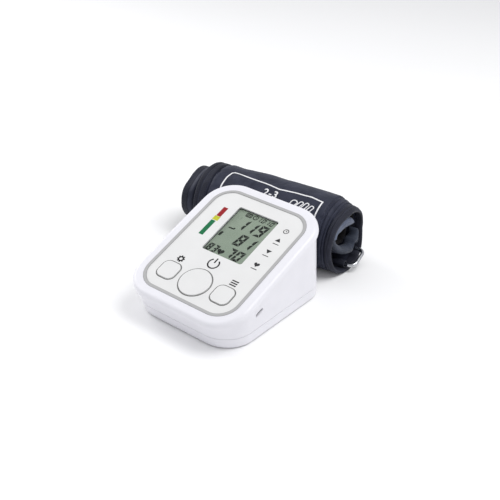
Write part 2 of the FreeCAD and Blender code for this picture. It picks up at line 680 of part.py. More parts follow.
# ---------------------------------------------------------------- fasteners and feet
case_screws = []
for number, (x, y) in enumerate(case_posts):
    head = cylinder(f"case_screw_head_{number}", "case_head", "case_head_high", x, y,
                    "foot_proud + head_recess")
    shank = cylinder(f"case_screw_shank_{number}", "case_screw", "case_screw_long", x, y, screw_seat)
    case_screws.append(fuse(f"case_screw_{number}", head, shank))
group("case_screws", case_screws)
group("rubber_feet", [cylinder(f"foot_{number}", "foot_radius", "foot_thick", x, y)
                      for number, (x, y) in enumerate(feet)])

# ---------------------------------------------------------------- batteries
cell_z = "foot_proud + cover_thick + seat_gap + cell_radius"
cells, contacts, springs = [], [], []
for number in range(4):
    x = f"({number} - 1.5) * cell_pitch"
    end = 1 if number % 2 else -1
    middle = f"bay_y + {end} * (bay_end - contact_thick - cell_button)"
    can = cylinder(f"cell_can_{number}", "cell_radius", "cell_length", x, f"{middle} - cell_length / 2",
                   cell_z, ALONG_Y)
    start = f"{middle} + cell_length / 2" if end > 0 else f"{middle} - cell_length / 2 - cell_button"
    button = cylinder(f"cell_button_{number}", "cell_button_radius", "cell_button", x, start, cell_z,
                      ALONG_Y)
    cells.append(fuse(f"cell_{number}", can, button))
    for side in (-1, 1):
        contacts.append(box(f"contact_{number}_{side + 1}", "contact_span", "contact_thick", "contact_high",
                            x, f"bay_y + {side} * (({bay_length}) / 2 - contact_thick / 2)",
                            f"{cell_z} - contact_high / 2"))
group("battery_cells", cells)
group("battery_contacts", contacts)

spring_long = "2 * bay_end - 2 * contact_thick - cell_button - 2 * spring_wire - seat_gap"


def coil(radius, length, turns, wire):
    """Helical wire along +Z from the origin, swept along a spline through sixteen points a turn."""
    points = round(16 * turns)
    path = Part.BSplineCurve()
    path.interpolate([Vector(radius * math.cos(2 * math.pi * turns * n / points),
                             radius * math.sin(2 * math.pi * turns * n / points), length * n / points)
                      for n in range(points + 1)])
    start = path.value(path.FirstParameter)
    section = Part.Wire(Part.makeCircle(wire, start, path.tangent(path.FirstParameter)[0]))
    return Part.Wire(path.toShape()).makePipeShell([section], True, True)


for number in range(4):
    end = 1 if number % 2 else -1
    turned = coil(mm("spring_radius"), mm(spring_long), mm("spring_turns"), mm("spring_wire"))
    turned.rotate(Vector(), Vector(1, 0, 0), 90 if end > 0 else -90)
    turned.translate(Vector((number - 1.5) * mm("cell_pitch"),
                            mm("bay_y") - end * (mm(bay_length) / 2 - mm("contact_thick") - mm("spring_wire")
                                                 - mm("seat_gap") / 2) + (mm(spring_long) if end > 0 else
                                                                          -mm(spring_long)), mm(cell_z)))
    springs.append(turned)
battery_springs = doc.addObject("Part::Feature", "battery_springs")
battery_springs.Shape = Part.makeCompound(springs)
keep(battery_springs)

# Cover of the battery bay: a plate with a rounded front edge, two pivot pins and a
# finger notch in its back edge.
cover_width = f"{bay_width} - 2 * run_gap"
cover_back = f"bay_y + ({bay_length}) / 2 - run_gap"
plate = bound("Box", "cover_plate", f"-({cover_width}) / 2", cover_axis_y, "foot_proud",
              Length=cover_width, Width=f"{cover_back} - ({cover_axis_y})", Height="cover_thick")
front_edge = cylinder("cover_front", "cover_thick / 2", cover_width, f"-({cover_width}) / 2", cover_axis_y,
                      cover_axis_z, ALONG_X)
pins = cylinder("cover_pins", "cover_pin", f"{bay_width} + 2 * cover_pin_long - 2 * run_gap",
                f"-({bay_width}) / 2 - cover_pin_long + run_gap", cover_axis_y, cover_axis_z, ALONG_X)
notch = cylinder("cover_notch", "3 * cover_thick", "cover_thick", "0", cover_back,
                 "foot_proud - cover_thick / 2")
keep(cut("battery_cover", fuse("cover_form", plate, front_edge, pins), notch))

# ---------------------------------------------------------------- air system
pump_z = f"{bay_roof} + bay_wall + saddle_floor + head_radius"
head_left = "pump_right - head_length"
motor_left = "pump_right - head_length - pump_length"
keep(cylinder("pump_motor", "pump_radius", "pump_length", motor_left, "pump_y", pump_z, ALONG_X))
head = cylinder("pump_head_body", "head_radius", "head_length", head_left, "pump_y", pump_z, ALONG_X)
nozzle = cylinder("pump_nozzle", "nozzle_radius", "head_length / 2 + nozzle_long",
                  "pump_right - head_length / 2", "pump_y", pump_z, ALONG_X)
keep(fuse("pump_head", head, nozzle))

saddles = []
for number, (middle, radius) in enumerate(((f"{motor_left} + pump_length / 3", "pump_radius"),
                                           ("pump_right - head_length / 2", "head_radius"))):
    block = box(f"saddle_block_{number}", "saddle_width", "saddle_length", "saddle_high", middle, "pump_y",
                f"{bay_roof} + bay_wall")
    hollow = cylinder(f"saddle_hollow_{number}", radius, "2 * saddle_width", f"{middle} - saddle_width",
                      "pump_y", pump_z, ALONG_X)
    saddles.append(cut(f"saddle_{number}", block, hollow))
group("pump_saddles", saddles)

valve_block = box("valve_block", "valve_long", "valve_wide", "valve_high", "valve_x", "valve_y", floor_top)
tee_x = "valve_x + valve_long / 2 + nozzle_long + tee_long / 2"
tee_z = f"{floor_top} + tee_high / 2"
valve_nozzle = cylinder("valve_nozzle", "nozzle_radius", "valve_long / 2 + nozzle_long", "valve_x", "valve_y",
                        tee_z, ALONG_X)
keep(fuse("release_valve", valve_block, valve_nozzle))

tee_block = box("tee_block", "tee_long", "tee_wide", "tee_high", tee_x, "valve_y", floor_top)
tee_right = cylinder("tee_right", "nozzle_radius", "tee_long / 2 + nozzle_long", tee_x, "valve_y", tee_z,
                     ALONG_X)
tee_up = cylinder("tee_up", "nozzle_radius", "tee_high / 2 + nozzle_long", tee_x, "valve_y", tee_z)
tee_front = cylinder("tee_front", "nozzle_radius", "tee_wide / 2 + nozzle_long", tee_x,
                     "valve_y - tee_wide / 2 - nozzle_long", tee_z, ALONG_Y)
keep(fuse("air_junction", tee_block, tee_right, tee_up, tee_front))

sensor_block = box("sensor_block", "sensor_width", "sensor_width", "sensor_high", tee_x, "sensor_v",
                   f"{board_floor} - sensor_high")
sensor_nozzle = cylinder("sensor_nozzle", "nozzle_radius", "nozzle_long + sensor_high / 2", tee_x, "sensor_v",
                         f"{board_floor} - sensor_high - nozzle_long")
sensor = keep(fuse("pressure_sensor", sensor_block, sensor_nozzle))
in_panel(sensor)

air_socket = new_body("air_socket")
air_face = side_x(air_y, "air_z")
rod(air_socket, "air_outer", f"-({air_face}) - air_proud", f"air_flange - air_proud - ({air_face})",
    air_y, "air_z", "YZ")
rod(air_socket, "air_barrel", f"-({air_face})", f"air_barrel_long - ({air_face})", air_y, "air_z", "YZ")
rod(air_socket, "nozzle_radius", f"-({air_face})", f"air_barrel_long + nozzle_long - ({air_face})",
    air_y, "air_z", "YZ")
hole(air_socket, "air_bore", f"-({air_face}) - 2 * air_proud", f"air_barrel_long - wall - ({air_face})",
     air_y, "air_z", "YZ")
hole(air_socket, "air_channel", f"-({air_face})", f"air_barrel_long + 2 * nozzle_long - ({air_face})",
     air_y, "air_z", "YZ")

air_nut = new_body("air_socket_nut")
lower_edge = side_x(air_y + " + air_outer", "air_z - air_outer")
upper_edge = side_x(air_y + " - air_outer", "air_z + air_outer")
nut_low = f"wall + seat_gap - min({lower_edge}; {upper_edge})"
slab(air_nut, "2 * air_outer", "2 * air_outer", "air_outer / 2", nut_low, f"{nut_low} + air_nut",
     air_y, "air_z", "YZ")
hole(air_nut, "air_barrel", f"-({air_face})", f"{nut_low} + 2 * air_nut", air_y, "air_z", "YZ")


def tube(points, bend, radius):
    """Hollow tube: straight runs joined by tangent arcs of one bend radius."""
    def swept(across):
        edges, start = [], points[0]
        for corner, following in zip(points[1:-1], points[2:]):
            arriving, leaving = (start - corner).normalize(), (following - corner).normalize()
            half_turn = (math.pi - arriving.getAngle(leaving)) / 2
            reach = bend * math.tan(half_turn)
            bisector = (arriving + leaving).normalize()
            centre = corner + bisector * (bend / math.cos(half_turn))
            arc_start, arc_end = corner + arriving * reach, corner + leaving * reach
            edges.append(Part.LineSegment(start, arc_start).toShape())
            edges.append(Part.Arc(arc_start, centre - bisector * bend, arc_end).toShape())
            start = arc_end
        edges.append(Part.LineSegment(start, points[-1]).toShape())
        profile = Part.Wire(Part.makeCircle(across, points[0], points[1] - points[0]))
        return Part.Wire(edges).makePipeShell([profile], True, True)
    return swept(radius).cut(swept(mm("nozzle_radius")))


right_run = (mm(bay_width) / 2 + mm("bay_wall") + mm("tube_radius") + mm("seat_gap"))
pump_tube = [Vector(mm("pump_right"), mm("pump_y"), mm(pump_z)), Vector(right_run, mm("pump_y"), mm(pump_z)),
             Vector(right_run, mm("valve_y"), mm(tee_z)),
             Vector(mm(tee_x) + mm("tee_long") / 2, mm("valve_y"), mm(tee_z))]
socket_tube = [Vector(mm("air_barrel_long") - mm(air_face), mm("valve_y"), mm("air_z")),
               Vector(mm(tee_x), mm("valve_y"), mm("air_z")),
               Vector(mm(tee_x), mm("valve_y"), mm(f"{floor_top} + tee_high"))]
panel_turn = FreeCAD.Rotation(Vector(1, 0, 0), mm("tilt"))
panel_middle = Vector(0, -mm("panel_forward"), mm("panel_height"))
sensor_port = panel_middle + panel_turn.multVec(Vector(mm(tee_x), mm("sensor_v"),
                                                       mm(f"{board_floor} - sensor_high")))
drop = (sensor_port.z - mm(tee_z)) / math.cos(math.radians(mm("tilt")))
sensor_corner = sensor_port + panel_turn.multVec(Vector(0, 0, -drop))
sensor_tube = [sensor_port, sensor_corner, Vector(mm(tee_x), mm("valve_y - tee_wide / 2"), mm(tee_z))]
air_tubes = doc.addObject("Part::Feature", "air_tubes")
air_tubes.Shape = Part.makeCompound([tube(points, mm("tube_bend"), mm("tube_radius"))
                                     for points in (pump_tube, socket_tube, sensor_tube)])
keep(air_tubes)

# ---------------------------------------------------------------- power socket and speaker
usb_face = side_x("usb_y", "usb_z")


def in_socket(thing):
    """Stand a piece at the power socket, its X out of the case and its Y up the slope."""
    thing.Placement = FreeCAD.Placement(Vector(), FreeCAD.Rotation(Vector(1, 0, 0), 10))
    bind(thing, "Placement.Rotation.Angle", "tilt")
    bind(thing, "Placement.Base.x", usb_face)
    bind(thing, "Placement.Base.y", "usb_y")
    bind(thing, "Placement.Base.z", "usb_z")


usb_socket = new_body("power_socket", in_socket)
slab(usb_socket, "usb_wide", "usb_high", "usb_high / 2 - 0.01", "-usb_deep", "-usb_wall", plane="YZ")
well(usb_socket, "usb_wide - 2 * usb_wall", "usb_high - 2 * usb_wall", "usb_high / 2 - usb_wall - 0.01",
     "usb_wall - usb_deep", "usb_deep", plane="YZ")
slab(usb_socket, "usb_wide - 4 * usb_wall", "usb_wall", "usb_wall / 3", "-usb_deep + usb_wall / 2",
     "-2 * usb_wall", plane="YZ")
usb_board = new_body("power_board", in_socket)
slab(usb_board, "usb_wide + 3 * wall", "board_thick", "board_thick / 4", "-usb_deep - board_thick",
     "-wall - usb_wall", y="-usb_high / 2 - board_thick / 2", plane="YZ")

keep(cylinder("speaker", "speaker_radius", "speaker_high", "speaker_x", "speaker_y", floor_top))

# ---------------------------------------------------------------- the rolled cuff
def cloth_tube(label, outer, walls, left, right):
    """Open tube along the roll, from its outer outline inwards."""
    width, height, radius, y, z = outer
    made = new_body(label, in_cuff)
    slab(made, width, height, radius, left, right, y, z, "YZ")
    well(made, f"{width} - 2 * {walls}", f"{height} - 2 * {walls}", f"{radius} - {walls}",
         f"{left} - wall", f"{right} + wall", y, z, "YZ")
    return made


wrap_radius = "(min(wrap_depth; wrap_height) / 2 - wrap_square)"
wrap_outline = ("wrap_depth", "wrap_height", wrap_radius, "0", "wrap_height / 2")
turn_depth = "(wrap_depth - 2 * wrap_thick - turn_gap - turn_behind)"
turn_height = "(wrap_height - 2 * wrap_thick - turn_gap - turn_below)"
turn_radius = f"(min({turn_depth}; {turn_height}) / 2 - turn_square)"
cloth_tube("outer_wrap", wrap_outline, "wrap_thick", "binding_width - wrap_length", "-binding_width")
turn_y = "(turn_gap - turn_behind) / 2"
turn_z = f"wrap_height - wrap_thick - turn_gap - {turn_height} / 2"


def turn_layer(inset):
    """Outline of a layer of the inner turn, set in from the turn's outside."""
    return (f"{turn_depth} - 2 * ({inset})", f"{turn_height} - 2 * ({inset})",
            f"{turn_radius} - ({inset})", turn_y, turn_z)


turn_left = "-wrap_length - turn_past"
bladder_inset = "cloth_thick + layer_gap"
lining_inset = "cloth_thick + 2 * layer_gap + bladder_thick"
tail_inset = "2 * cloth_thick + 3 * layer_gap + bladder_thick"
cloth_tube("inner_turn", turn_layer("0"), "cloth_thick", turn_left, "-turn_short")
cloth_tube("bladder", turn_layer(bladder_inset), "bladder_thick", f"{turn_left} + bladder_inset",
           "-turn_short - bladder_inset")
cloth_tube("lining", turn_layer(lining_inset), "cloth_thick", turn_left, "-turn_short")
for label, outline, walls, left, right in (
        ("right_binding", wrap_outline, "wrap_thick", "-binding_width", "0"),
        ("left_binding", wrap_outline, "wrap_thick", "-wrap_length", "binding_width - wrap_length")):
    cloth_tube(label, outline, walls, left, right)

# Free end of the strip, folded back inside the roll: part of a ring.
tail_outline = turn_layer(tail_inset)
tail = cloth_tube("folded_end", tail_outline, "tail_thick", f"{turn_left} + binding_width",
                  "-turn_short - binding_width")
well(tail, turn_depth, turn_height, "cloth_thick", "-2 * wrap_length", "wall",
     f"{turn_y} - {turn_depth} / 2", f"{turn_z} - {turn_height} / 4", "YZ")

# Tension ring: a wire bent into a long loop, one long side in a hem on the wrap.
hem_z = "wrap_thick + layer_gap + hem_wall + ring_wire + seat_gap"
loop = new_body("tension_ring", in_cuff)
ring_path = rounded(sketch(loop, "XY", "(ring_past - wrap_length - ring_past_left) / 2",
                           "hem_y + ring_span / 2 * cos(ring_slope)",
                           f"{hem_z} + ring_span / 2 * sin(ring_slope)", lean="ring_slope"),
                    "ring_past + wrap_length + ring_past_left", "ring_span", "ring_corner")
wire_section = circle(sketch(loop, "YZ", "hem_y", hem_z, "-wrap_length / 2"), "ring_wire")
pipe = loop.newObject("PartDesign::AdditivePipe", "ring_pipe")
pipe.Profile = wire_section
pipe.Spine = (ring_path, [f"Edge{n}" for n in range(1, 9)])
pipe.Mode = "Frenet"

hem = new_body("ring_hem", in_cuff)
rod(hem, "ring_wire + seat_gap + hem_wall", "binding_width - wrap_length", "-binding_width",
    "hem_y", hem_z, "YZ")
hole(hem, "ring_wire + seat_gap / 2", "-wrap_length", "0", "hem_y", hem_z, "YZ")

# Hook tape that closes the roll, flat against the wrap's lining behind the inner turn.
hook_inset = "wrap_thick + layer_gap"
hook = cloth_tube("hook_tape", (f"wrap_depth - 2 * ({hook_inset})", f"wrap_height - 2 * ({hook_inset})",
                                f"{wrap_radius} - ({hook_inset})", "0", "wrap_height / 2"), "hook_thick",
                  "3 * binding_width - wrap_length", "-3 * binding_width")
well(hook, "wrap_depth", "2 * wrap_height", "hook_thick", "-wrap_length", "wall",
     "-hook_rise", "wrap_height / 2", "YZ")


# Collar on the bladder's left end where the air hose joins.
port = new_body("hose_port", in_cuff)
port_z = f"{turn_z} - {turn_height} / 2 + {bladder_inset} + bladder_thick / 2"
rod(port, "bladder_thick / 2", turn_left, f"{turn_left} + bladder_inset", turn_y, port_z, "YZ")
rod(port, "port_radius", f"{turn_left} - port_long", turn_left, turn_y, port_z, "YZ")

# ---------------------------------------------------------------- check and write
doc.recompute()
for thing in doc.Objects:
    if {"Invalid", "Error"} & set(thing.State):
        raise RuntimeError(f"{thing.Label} failed: {thing.State}")
os.makedirs("parts", exist_ok=True)
for node in nodes:
    if node.Shape.isNull() or not node.Shape.isValid() or not node.Shape.Solids:
        raise RuntimeError(f"{node.Label} has no valid solid")
    node.Shape.exportStep(f"parts/{node.Label}.step")
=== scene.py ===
import bmesh
import bpy
import math
from mathutils import Matrix, Vector, noise
from mathutils.bvhtree import BVHTree


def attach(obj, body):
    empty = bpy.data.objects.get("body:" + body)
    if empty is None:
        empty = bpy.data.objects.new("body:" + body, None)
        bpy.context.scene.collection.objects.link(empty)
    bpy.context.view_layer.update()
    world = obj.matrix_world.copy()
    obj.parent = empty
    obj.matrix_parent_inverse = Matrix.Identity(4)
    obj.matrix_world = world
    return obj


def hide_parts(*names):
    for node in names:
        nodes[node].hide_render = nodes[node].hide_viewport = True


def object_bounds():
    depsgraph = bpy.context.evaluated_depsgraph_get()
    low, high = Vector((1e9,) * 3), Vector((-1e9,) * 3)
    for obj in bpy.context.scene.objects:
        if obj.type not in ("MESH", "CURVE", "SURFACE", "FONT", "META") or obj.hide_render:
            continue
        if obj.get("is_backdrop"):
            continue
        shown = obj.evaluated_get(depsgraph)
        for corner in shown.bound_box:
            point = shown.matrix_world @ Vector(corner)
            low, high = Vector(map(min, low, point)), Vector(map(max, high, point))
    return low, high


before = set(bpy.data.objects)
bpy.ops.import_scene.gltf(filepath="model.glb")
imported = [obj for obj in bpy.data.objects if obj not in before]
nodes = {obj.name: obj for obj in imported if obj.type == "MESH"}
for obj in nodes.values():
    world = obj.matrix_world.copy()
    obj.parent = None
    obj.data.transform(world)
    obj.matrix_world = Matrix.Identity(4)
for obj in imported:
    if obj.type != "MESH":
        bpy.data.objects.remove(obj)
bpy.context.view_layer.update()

scene = bpy.context.scene
mm = 0.001


# ---------------------------- camera
# A long lens above the front right corner of the monitor, rolled a little to the left.
camera_place = (0.32279, -0.42038, 0.34114)
camera_turn = (60.396, -2.883, 37.992)
camera_lens = 61.7

camera = bpy.data.objects.new("camera", bpy.data.cameras.new("camera"))
camera.location = camera_place
camera.rotation_euler = [math.radians(angle) for angle in camera_turn]
camera.data.lens = camera_lens
scene.collection.objects.link(camera)
scene.camera = camera
scene.view_settings.view_transform = "Standard"


# ---------------------------- case
# Two injection moulded shells of white ABS with a fine satin spark texture, closed on
# each other at a shadow seam near the table, and the cover of the battery bay.
def finish(name, roughness, metallic=0, **constants):
    """Start a material: the Principled shader with the sockets that are the same all over."""
    made = bpy.data.materials.new(name)
    made.use_nodes = True
    shader = made.node_tree.nodes["Principled BSDF"]
    shader.inputs["Roughness"].default_value = roughness
    shader.inputs["Metallic"].default_value = metallic
    for socket, value in constants.items():
        shader.inputs[socket.replace("_", " ")].default_value = value
    return made


def wire(made, kind, **inputs):
    """Add a node to a material; each input is a value, or another node's output."""
    tree = made.node_tree
    added = tree.nodes.new("ShaderNode" + kind)
    for name, value in inputs.items():
        socket = added.inputs[name.replace("_", " ")]
        if isinstance(value, bpy.types.NodeSocket):
            tree.links.new(value, socket)
        else:
            socket.default_value = value
    return added


def drive(made, socket, output):
    made.node_tree.links.new(output, made.node_tree.nodes["Principled BSDF"].inputs[socket])


def in_object(made):
    """Object coordinates in millimetres, so a noise scale is one over a size in millimetres."""
    place = made.node_tree.nodes.new("ShaderNodeTexCoord").outputs["Object"]
    return wire(made, "Mapping", Vector=place, Scale=(1 / mm, 1 / mm, 1 / mm)).outputs["Vector"]


def mottled(made, where, dark, light, size, detail=3, edge=0.3):
    """Colour that wanders between two tones over a distance."""
    cloud = wire(made, "TexNoise", Vector=where, Scale=1 / size, Detail=detail)
    ramp = wire(made, "ValToRGB", Fac=cloud.outputs["Fac"])
    ramp.color_ramp.elements[0].position, ramp.color_ramp.elements[1].position = edge, 1 - edge
    ramp.color_ramp.elements[0].color = (*dark, 1)
    ramp.color_ramp.elements[1].color = (*light, 1)
    return ramp.outputs["Color"]


def rub(made, where, low, high, size):
    """Wander between two roughnesses over a distance."""
    cloud = wire(made, "TexNoise", Vector=where, Scale=1 / size, Detail=2)
    spread = wire(made, "MapRange", Value=cloud.outputs["Fac"], From_Min=0.3, From_Max=0.7,
                  To_Min=low, To_Max=high)
    drive(made, "Roughness", spread.outputs["Result"])


def grain(made, where, size, depth):
    """Raise a fine grain of a size and a depth in millimetres."""
    cloud = wire(made, "TexNoise", Vector=where, Scale=1 / size, Detail=2)
    drive(made, "Normal", wire(made, "Bump", Height=cloud.outputs["Fac"], Strength=1,
                               Distance=depth * mm).outputs["Normal"])


def toned(name, roughness, tones, size, tooth, metallic=0, **constants):
    """A surface of two close tones, with a tooth given by its grain's size and depth."""
    made = finish(name, roughness, metallic, **constants)
    where = in_object(made)
    drive(made, "Base Color", mottled(made, where, *tones, size))
    grain(made, where, *tooth)
    return made


def moulded(name, colour, roughness, spark=0.35, depth=0.012, **constants):
    """Moulded plastic: a spark eroded grain, and a polish that varies a little."""
    tone_size, polish_size, polish_change = 14, 9, 0.12
    worn = [0.965 * part for part in colour]
    made = toned(name, roughness, (worn, colour), tone_size, (spark, depth), **constants)
    rub(made, in_object(made), (1 - polish_change) * roughness, (1 + polish_change) * roughness, polish_size)
    return made


def dress(material, *names):
    """Give CAD nodes a finish."""
    for name in names:
        mesh = nodes[name].data
        mesh.materials.clear()
        mesh.materials.append(material)


case_white = moulded("case_white", (0.81, 0.805, 0.85), 0.36, Coat_Weight=0.12, Coat_Roughness=0.22)
dress(case_white, "upper_case", "lower_case")
dress(moulded("cover_white", (0.82, 0.815, 0.86), 0.42), "battery_cover")


# ---------------------------- screws and feet
# Four screws close the case from below, in blind holes, and four hold the main board.
# Their heads are zinc plated. The feet are pads of black rubber, glued into seats.
screw_zinc = toned("screw_zinc", 0.3, ((0.48, 0.5, 0.53), (0.66, 0.68, 0.7)), 0.8, (0.15, 0.01), 1)
dress(screw_zinc, "case_screws", "board_screws")
dress(moulded("foot_rubber", (0.05, 0.05, 0.055), 0.75, 0.25, 0.03), "rubber_feet")


# ---------------------------- battery bay
# Four AA cells lie side by side in the bay, between nickel plated leaves and coil
# springs that stand at its ends. Their sleeves are dark, with a gold band at one end.
nickel = toned("nickel", 0.22, ((0.62, 0.6, 0.55), (0.78, 0.76, 0.7)), 2, (0.4, 0.005), 1)
dress(nickel, "battery_contacts", "battery_springs")

sleeve_dark, sleeve_gold, gold_from = (0.04, 0.05, 0.09, 1), (0.5, 0.34, 0.1, 1), 0.72
cell_wrap = finish("cell_wrap", 0.3)
where = in_object(cell_wrap)
along_cell = wire(cell_wrap, "Mapping", Vector=where, Rotation=(0, 0, math.pi / 2)).outputs["Vector"]
bands = wire(cell_wrap, "TexWave", Vector=along_cell, Scale=0.0064, Distortion=0, Phase_Offset=1.9)
wraps = wire(cell_wrap, "ValToRGB", Fac=bands.outputs["Fac"])
wraps.color_ramp.interpolation = "CONSTANT"
wraps.color_ramp.elements[0].color = sleeve_dark
wraps.color_ramp.elements[1].position = gold_from
wraps.color_ramp.elements[1].color = sleeve_gold
drive(cell_wrap, "Base Color", wraps.outputs["Color"])
grain(cell_wrap, where, 3, 0.01)
dress(cell_wrap, "battery_cells")


# ---------------------------- air system
# Pump with a steel motor can and a black head on foam saddles, a release valve and a
# junction of moulded nylon, and soft black tubes pushed over their nozzles.
dress(toned("pump_steel", 0.34, ((0.46, 0.47, 0.49), (0.58, 0.59, 0.61)), 6, (0.3, 0.008), 1,
            Anisotropic=0.4), "pump_motor")
inner_black = moulded("inner_black", (0.035, 0.035, 0.038), 0.45, 0.3, 0.02)
dress(inner_black, "pump_head", "release_valve", "speaker", "display_holder")
inner_grey = moulded("inner_grey", (0.42, 0.43, 0.45), 0.45, 0.3, 0.02)
dress(inner_grey, "air_junction", "air_socket_nut", "pressure_sensor", "tactile_switches")
dress(moulded("socket_grey", (0.3, 0.3, 0.32), 0.38, 0.3, 0.015), "air_socket")
dress(moulded("tube_rubber", (0.03, 0.03, 0.032), 0.6, 0.5, 0.02), "air_tubes")
dress(moulded("saddle_foam", (0.09, 0.09, 0.1), 0.95, 0.6, 0.25), "pump_saddles")


# ---------------------------- boards and power socket
# Green fibreglass boards with copper tracks under the resist, black chips, and a small
# stamped steel socket for the power lead.
board_green = finish("board_green", 0.35, Coat_Weight=0.4, Coat_Roughness=0.15)
where = in_object(board_green)
tracks = wire(board_green, "TexBrick", Vector=where, Scale=0.35, Mortar_Size=0.09,
              Color1=(0.01, 0.1, 0.04, 1), Color2=(0.012, 0.13, 0.05, 1), Mortar=(0.03, 0.2, 0.08, 1))
drive(board_green, "Base Color", tracks.outputs["Color"])
drive(board_green, "Normal", wire(board_green, "Bump", Height=tracks.outputs["Fac"], Strength=0.5,
                                  Distance=0.02 * mm).outputs["Normal"])
dress(board_green, "main_board", "power_board")
dress(moulded("chip_black", (0.025, 0.025, 0.028), 0.5, 0.2, 0.01), "board_chips")
dress(toned("socket_steel", 0.45, ((0.6, 0.6, 0.62), (0.74, 0.74, 0.76)), 1.5, (0.3, 0.006), 0.4),
      "power_socket")


# ---------------------------- display
# A reflective display: two sheets of glass with their polarisers over a light guide, in
# a black holder with a foam gasket, seen through a clear lens. Ink lies on the glass.
# The gasket's black and a dark line drawn on the glass round the window are painted
# shade, where the window's edge shades the glass.
glass_grey = toned("glass_grey", 0.35, ((0.222, 0.285, 0.213), (0.266, 0.328, 0.252)), 16, (0.12, 0.004),
                   Coat_Weight=0.3, Coat_Roughness=0.15)
dress(glass_grey, "display_glass")
dress(moulded("light_acrylic", (0.75, 0.78, 0.76), 0.2, 0.5, 0.01), "light_guide")
dress(moulded("zebra_rubber", (0.2, 0.2, 0.21), 0.7, 0.2, 0.02), "contact_strips")
dress(toned("lens_clear", 0.08, ((0.2, 0.24, 0.21), (0.24, 0.28, 0.25)), 20, (6, 0.004), Alpha=0.04,
            IOR=1.49), "display_lens")

panel_tilt, panel_forward, panel_height = 21, 11.15, 45.2
panel = (Matrix.Translation((0, -panel_forward * mm, panel_height * mm))
         @ Matrix.Rotation(math.radians(panel_tilt), 4, "X"))
window_middle = (1.2, 16.4)
window_width, window_length, window_corner = 35.6, 46, 1.8
rear_glass_top, front_glass_top, lens_bottom = -3.2, -2.08, -2.0
stack_gap, ink_gap, faint_top, shade_line_top, segment_top = 0.02, 0.01, 0.03, 0.04, 0.05


def piece(name, shape, material, body, place=None, smooth=False):
    """Turn a bmesh in millimetres into a finished piece that rides on a body."""
    bmesh.ops.scale(shape, vec=(mm, mm, mm), verts=shape.verts)
    if place:
        bmesh.ops.transform(shape, matrix=place, verts=shape.verts)
    mesh = bpy.data.meshes.new(name)
    shape.to_mesh(mesh)
    shape.free()
    mesh.materials.append(material)
    if smooth:
        mesh.shade_smooth()
    made = bpy.data.objects.new(name, mesh)
    scene.collection.objects.link(made)
    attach(made, body)
    return made


def face_up(shape, corners):
    """Draw a flat face that looks up."""
    face = shape.faces.new(corners)
    face.normal_update()
    if face.normal.z < 0:
        face.normal_flip()


def fill(shape, outline):
    """Draw a flat face of an outline."""
    face_up(shape, [shape.verts.new((x, y, 0)) for x, y in outline])


def band(shape, one_side, other_side, closed=True):
    """Draw a flat strip between two lines with as many points each."""
    first = [shape.verts.new((x, y, 0)) for x, y in one_side]
    second = [shape.verts.new((x, y, 0)) for x, y in other_side]
    for here in range(len(first) if closed else len(first) - 1):
        ahead = (here + 1) % len(first)
        face_up(shape, [first[here], first[ahead], second[ahead], second[here]])


def stroke(shape, points, width, closed=False):
    """Draw a line of one width through points, mitred at its corners."""
    sides, count, mitre_limit = ([], []), len(points), 0.4
    for here, point in enumerate(points):
        before = points[here - 1] if here or closed else point
        after = points[(here + 1) % count] if here < count - 1 or closed else point
        runs = [Vector(end) - Vector(start) for start, end in ((before, point), (point, after))
                if start != end]
        normals = [Vector((-run.y, run.x)).normalized() for run in runs]
        mitre = sum(normals, Vector((0, 0))).normalized()
        reach = width / 2 / max(mitre.dot(normals[0]), mitre_limit)
        for side, way in zip(sides, (1, -1)):
            side.append(tuple(Vector(point) + way * reach * mitre))
    band(shape, *sides, closed)


def stand(shape, low, high):
    """Give flat faces their thickness, between two heights."""
    bmesh.ops.translate(shape, vec=(0, 0, low), verts=shape.verts)
    bmesh.ops.solidify(shape, geom=shape.faces[:], thickness=low - high)
    bmesh.ops.recalc_face_normals(shape, faces=shape.faces)


def arc(x, y, radius, start, stop, steps=12):
    """Points of an arc; angles in degrees."""
    return [(x + radius * math.cos(math.radians(start + (stop - start) * step / steps)),
             y + radius * math.sin(math.radians(start + (stop - start) * step / steps)))
            for step in range(steps + 1)]


def rounded(x, y, width, length, corner):
    """Outline of a rectangle with round corners."""
    reach_x, reach_y = width / 2 - corner, length / 2 - corner
    return [point for side_x, side_y, start in ((1, 1, 0), (-1, 1, 90), (-1, -1, 180), (1, -1, 270))
            for point in arc(x + side_x * reach_x, y + side_y * reach_y, corner, start, start + 90, 8)]


def window_line(less, corner=window_corner):
    """Outline of the window, made smaller by a length each way."""
    return rounded(*window_middle, window_width - less, window_length - less, corner)


def print_on_glass(name, shape, material, top):
    stand(shape, front_glass_top + ink_gap, front_glass_top + top)
    piece(name, shape, material, "monitor", panel)


gasket_reach, gasket_inside, front_glass_less, shade_line_less, shade_line_width = 0.25, 0.3, 0.34, 0.4, 0.12
# The gasket is coloured black as painted shade: the dark line round the window, where its edge shades the
# glass.
gasket_painted_shade = moulded("gasket_painted_shade", (0.012, 0.012, 0.013), 0.9, 0.3, 0.05)
gasket = bmesh.new()
band(gasket, window_line(-2 * gasket_reach, window_corner + gasket_reach), window_line(gasket_inside))
stand(gasket, rear_glass_top + stack_gap, lens_bottom - stack_gap)
piece("display_gasket_painted_shade", gasket, gasket_painted_shade, "monitor", panel)
front_glass = bmesh.new()
fill(front_glass, window_line(front_glass_less))
stand(front_glass, rear_glass_top + stack_gap, front_glass_top)
piece("display_front_glass", front_glass, glass_grey, "monitor", panel)
# A dark line drawn on the glass just inside the window's edge: painted shade from that edge.
painted_shade_ink = moulded("painted_shade_ink", (0.02, 0.022, 0.02), 0.5, 0.2, 0.004)
painted_shade_line = bmesh.new()
stroke(painted_shade_line, window_line(shade_line_less + shade_line_width), shade_line_width, closed=True)
print_on_glass("display_painted_shade_line", painted_shade_line, painted_shade_ink, shade_line_top)


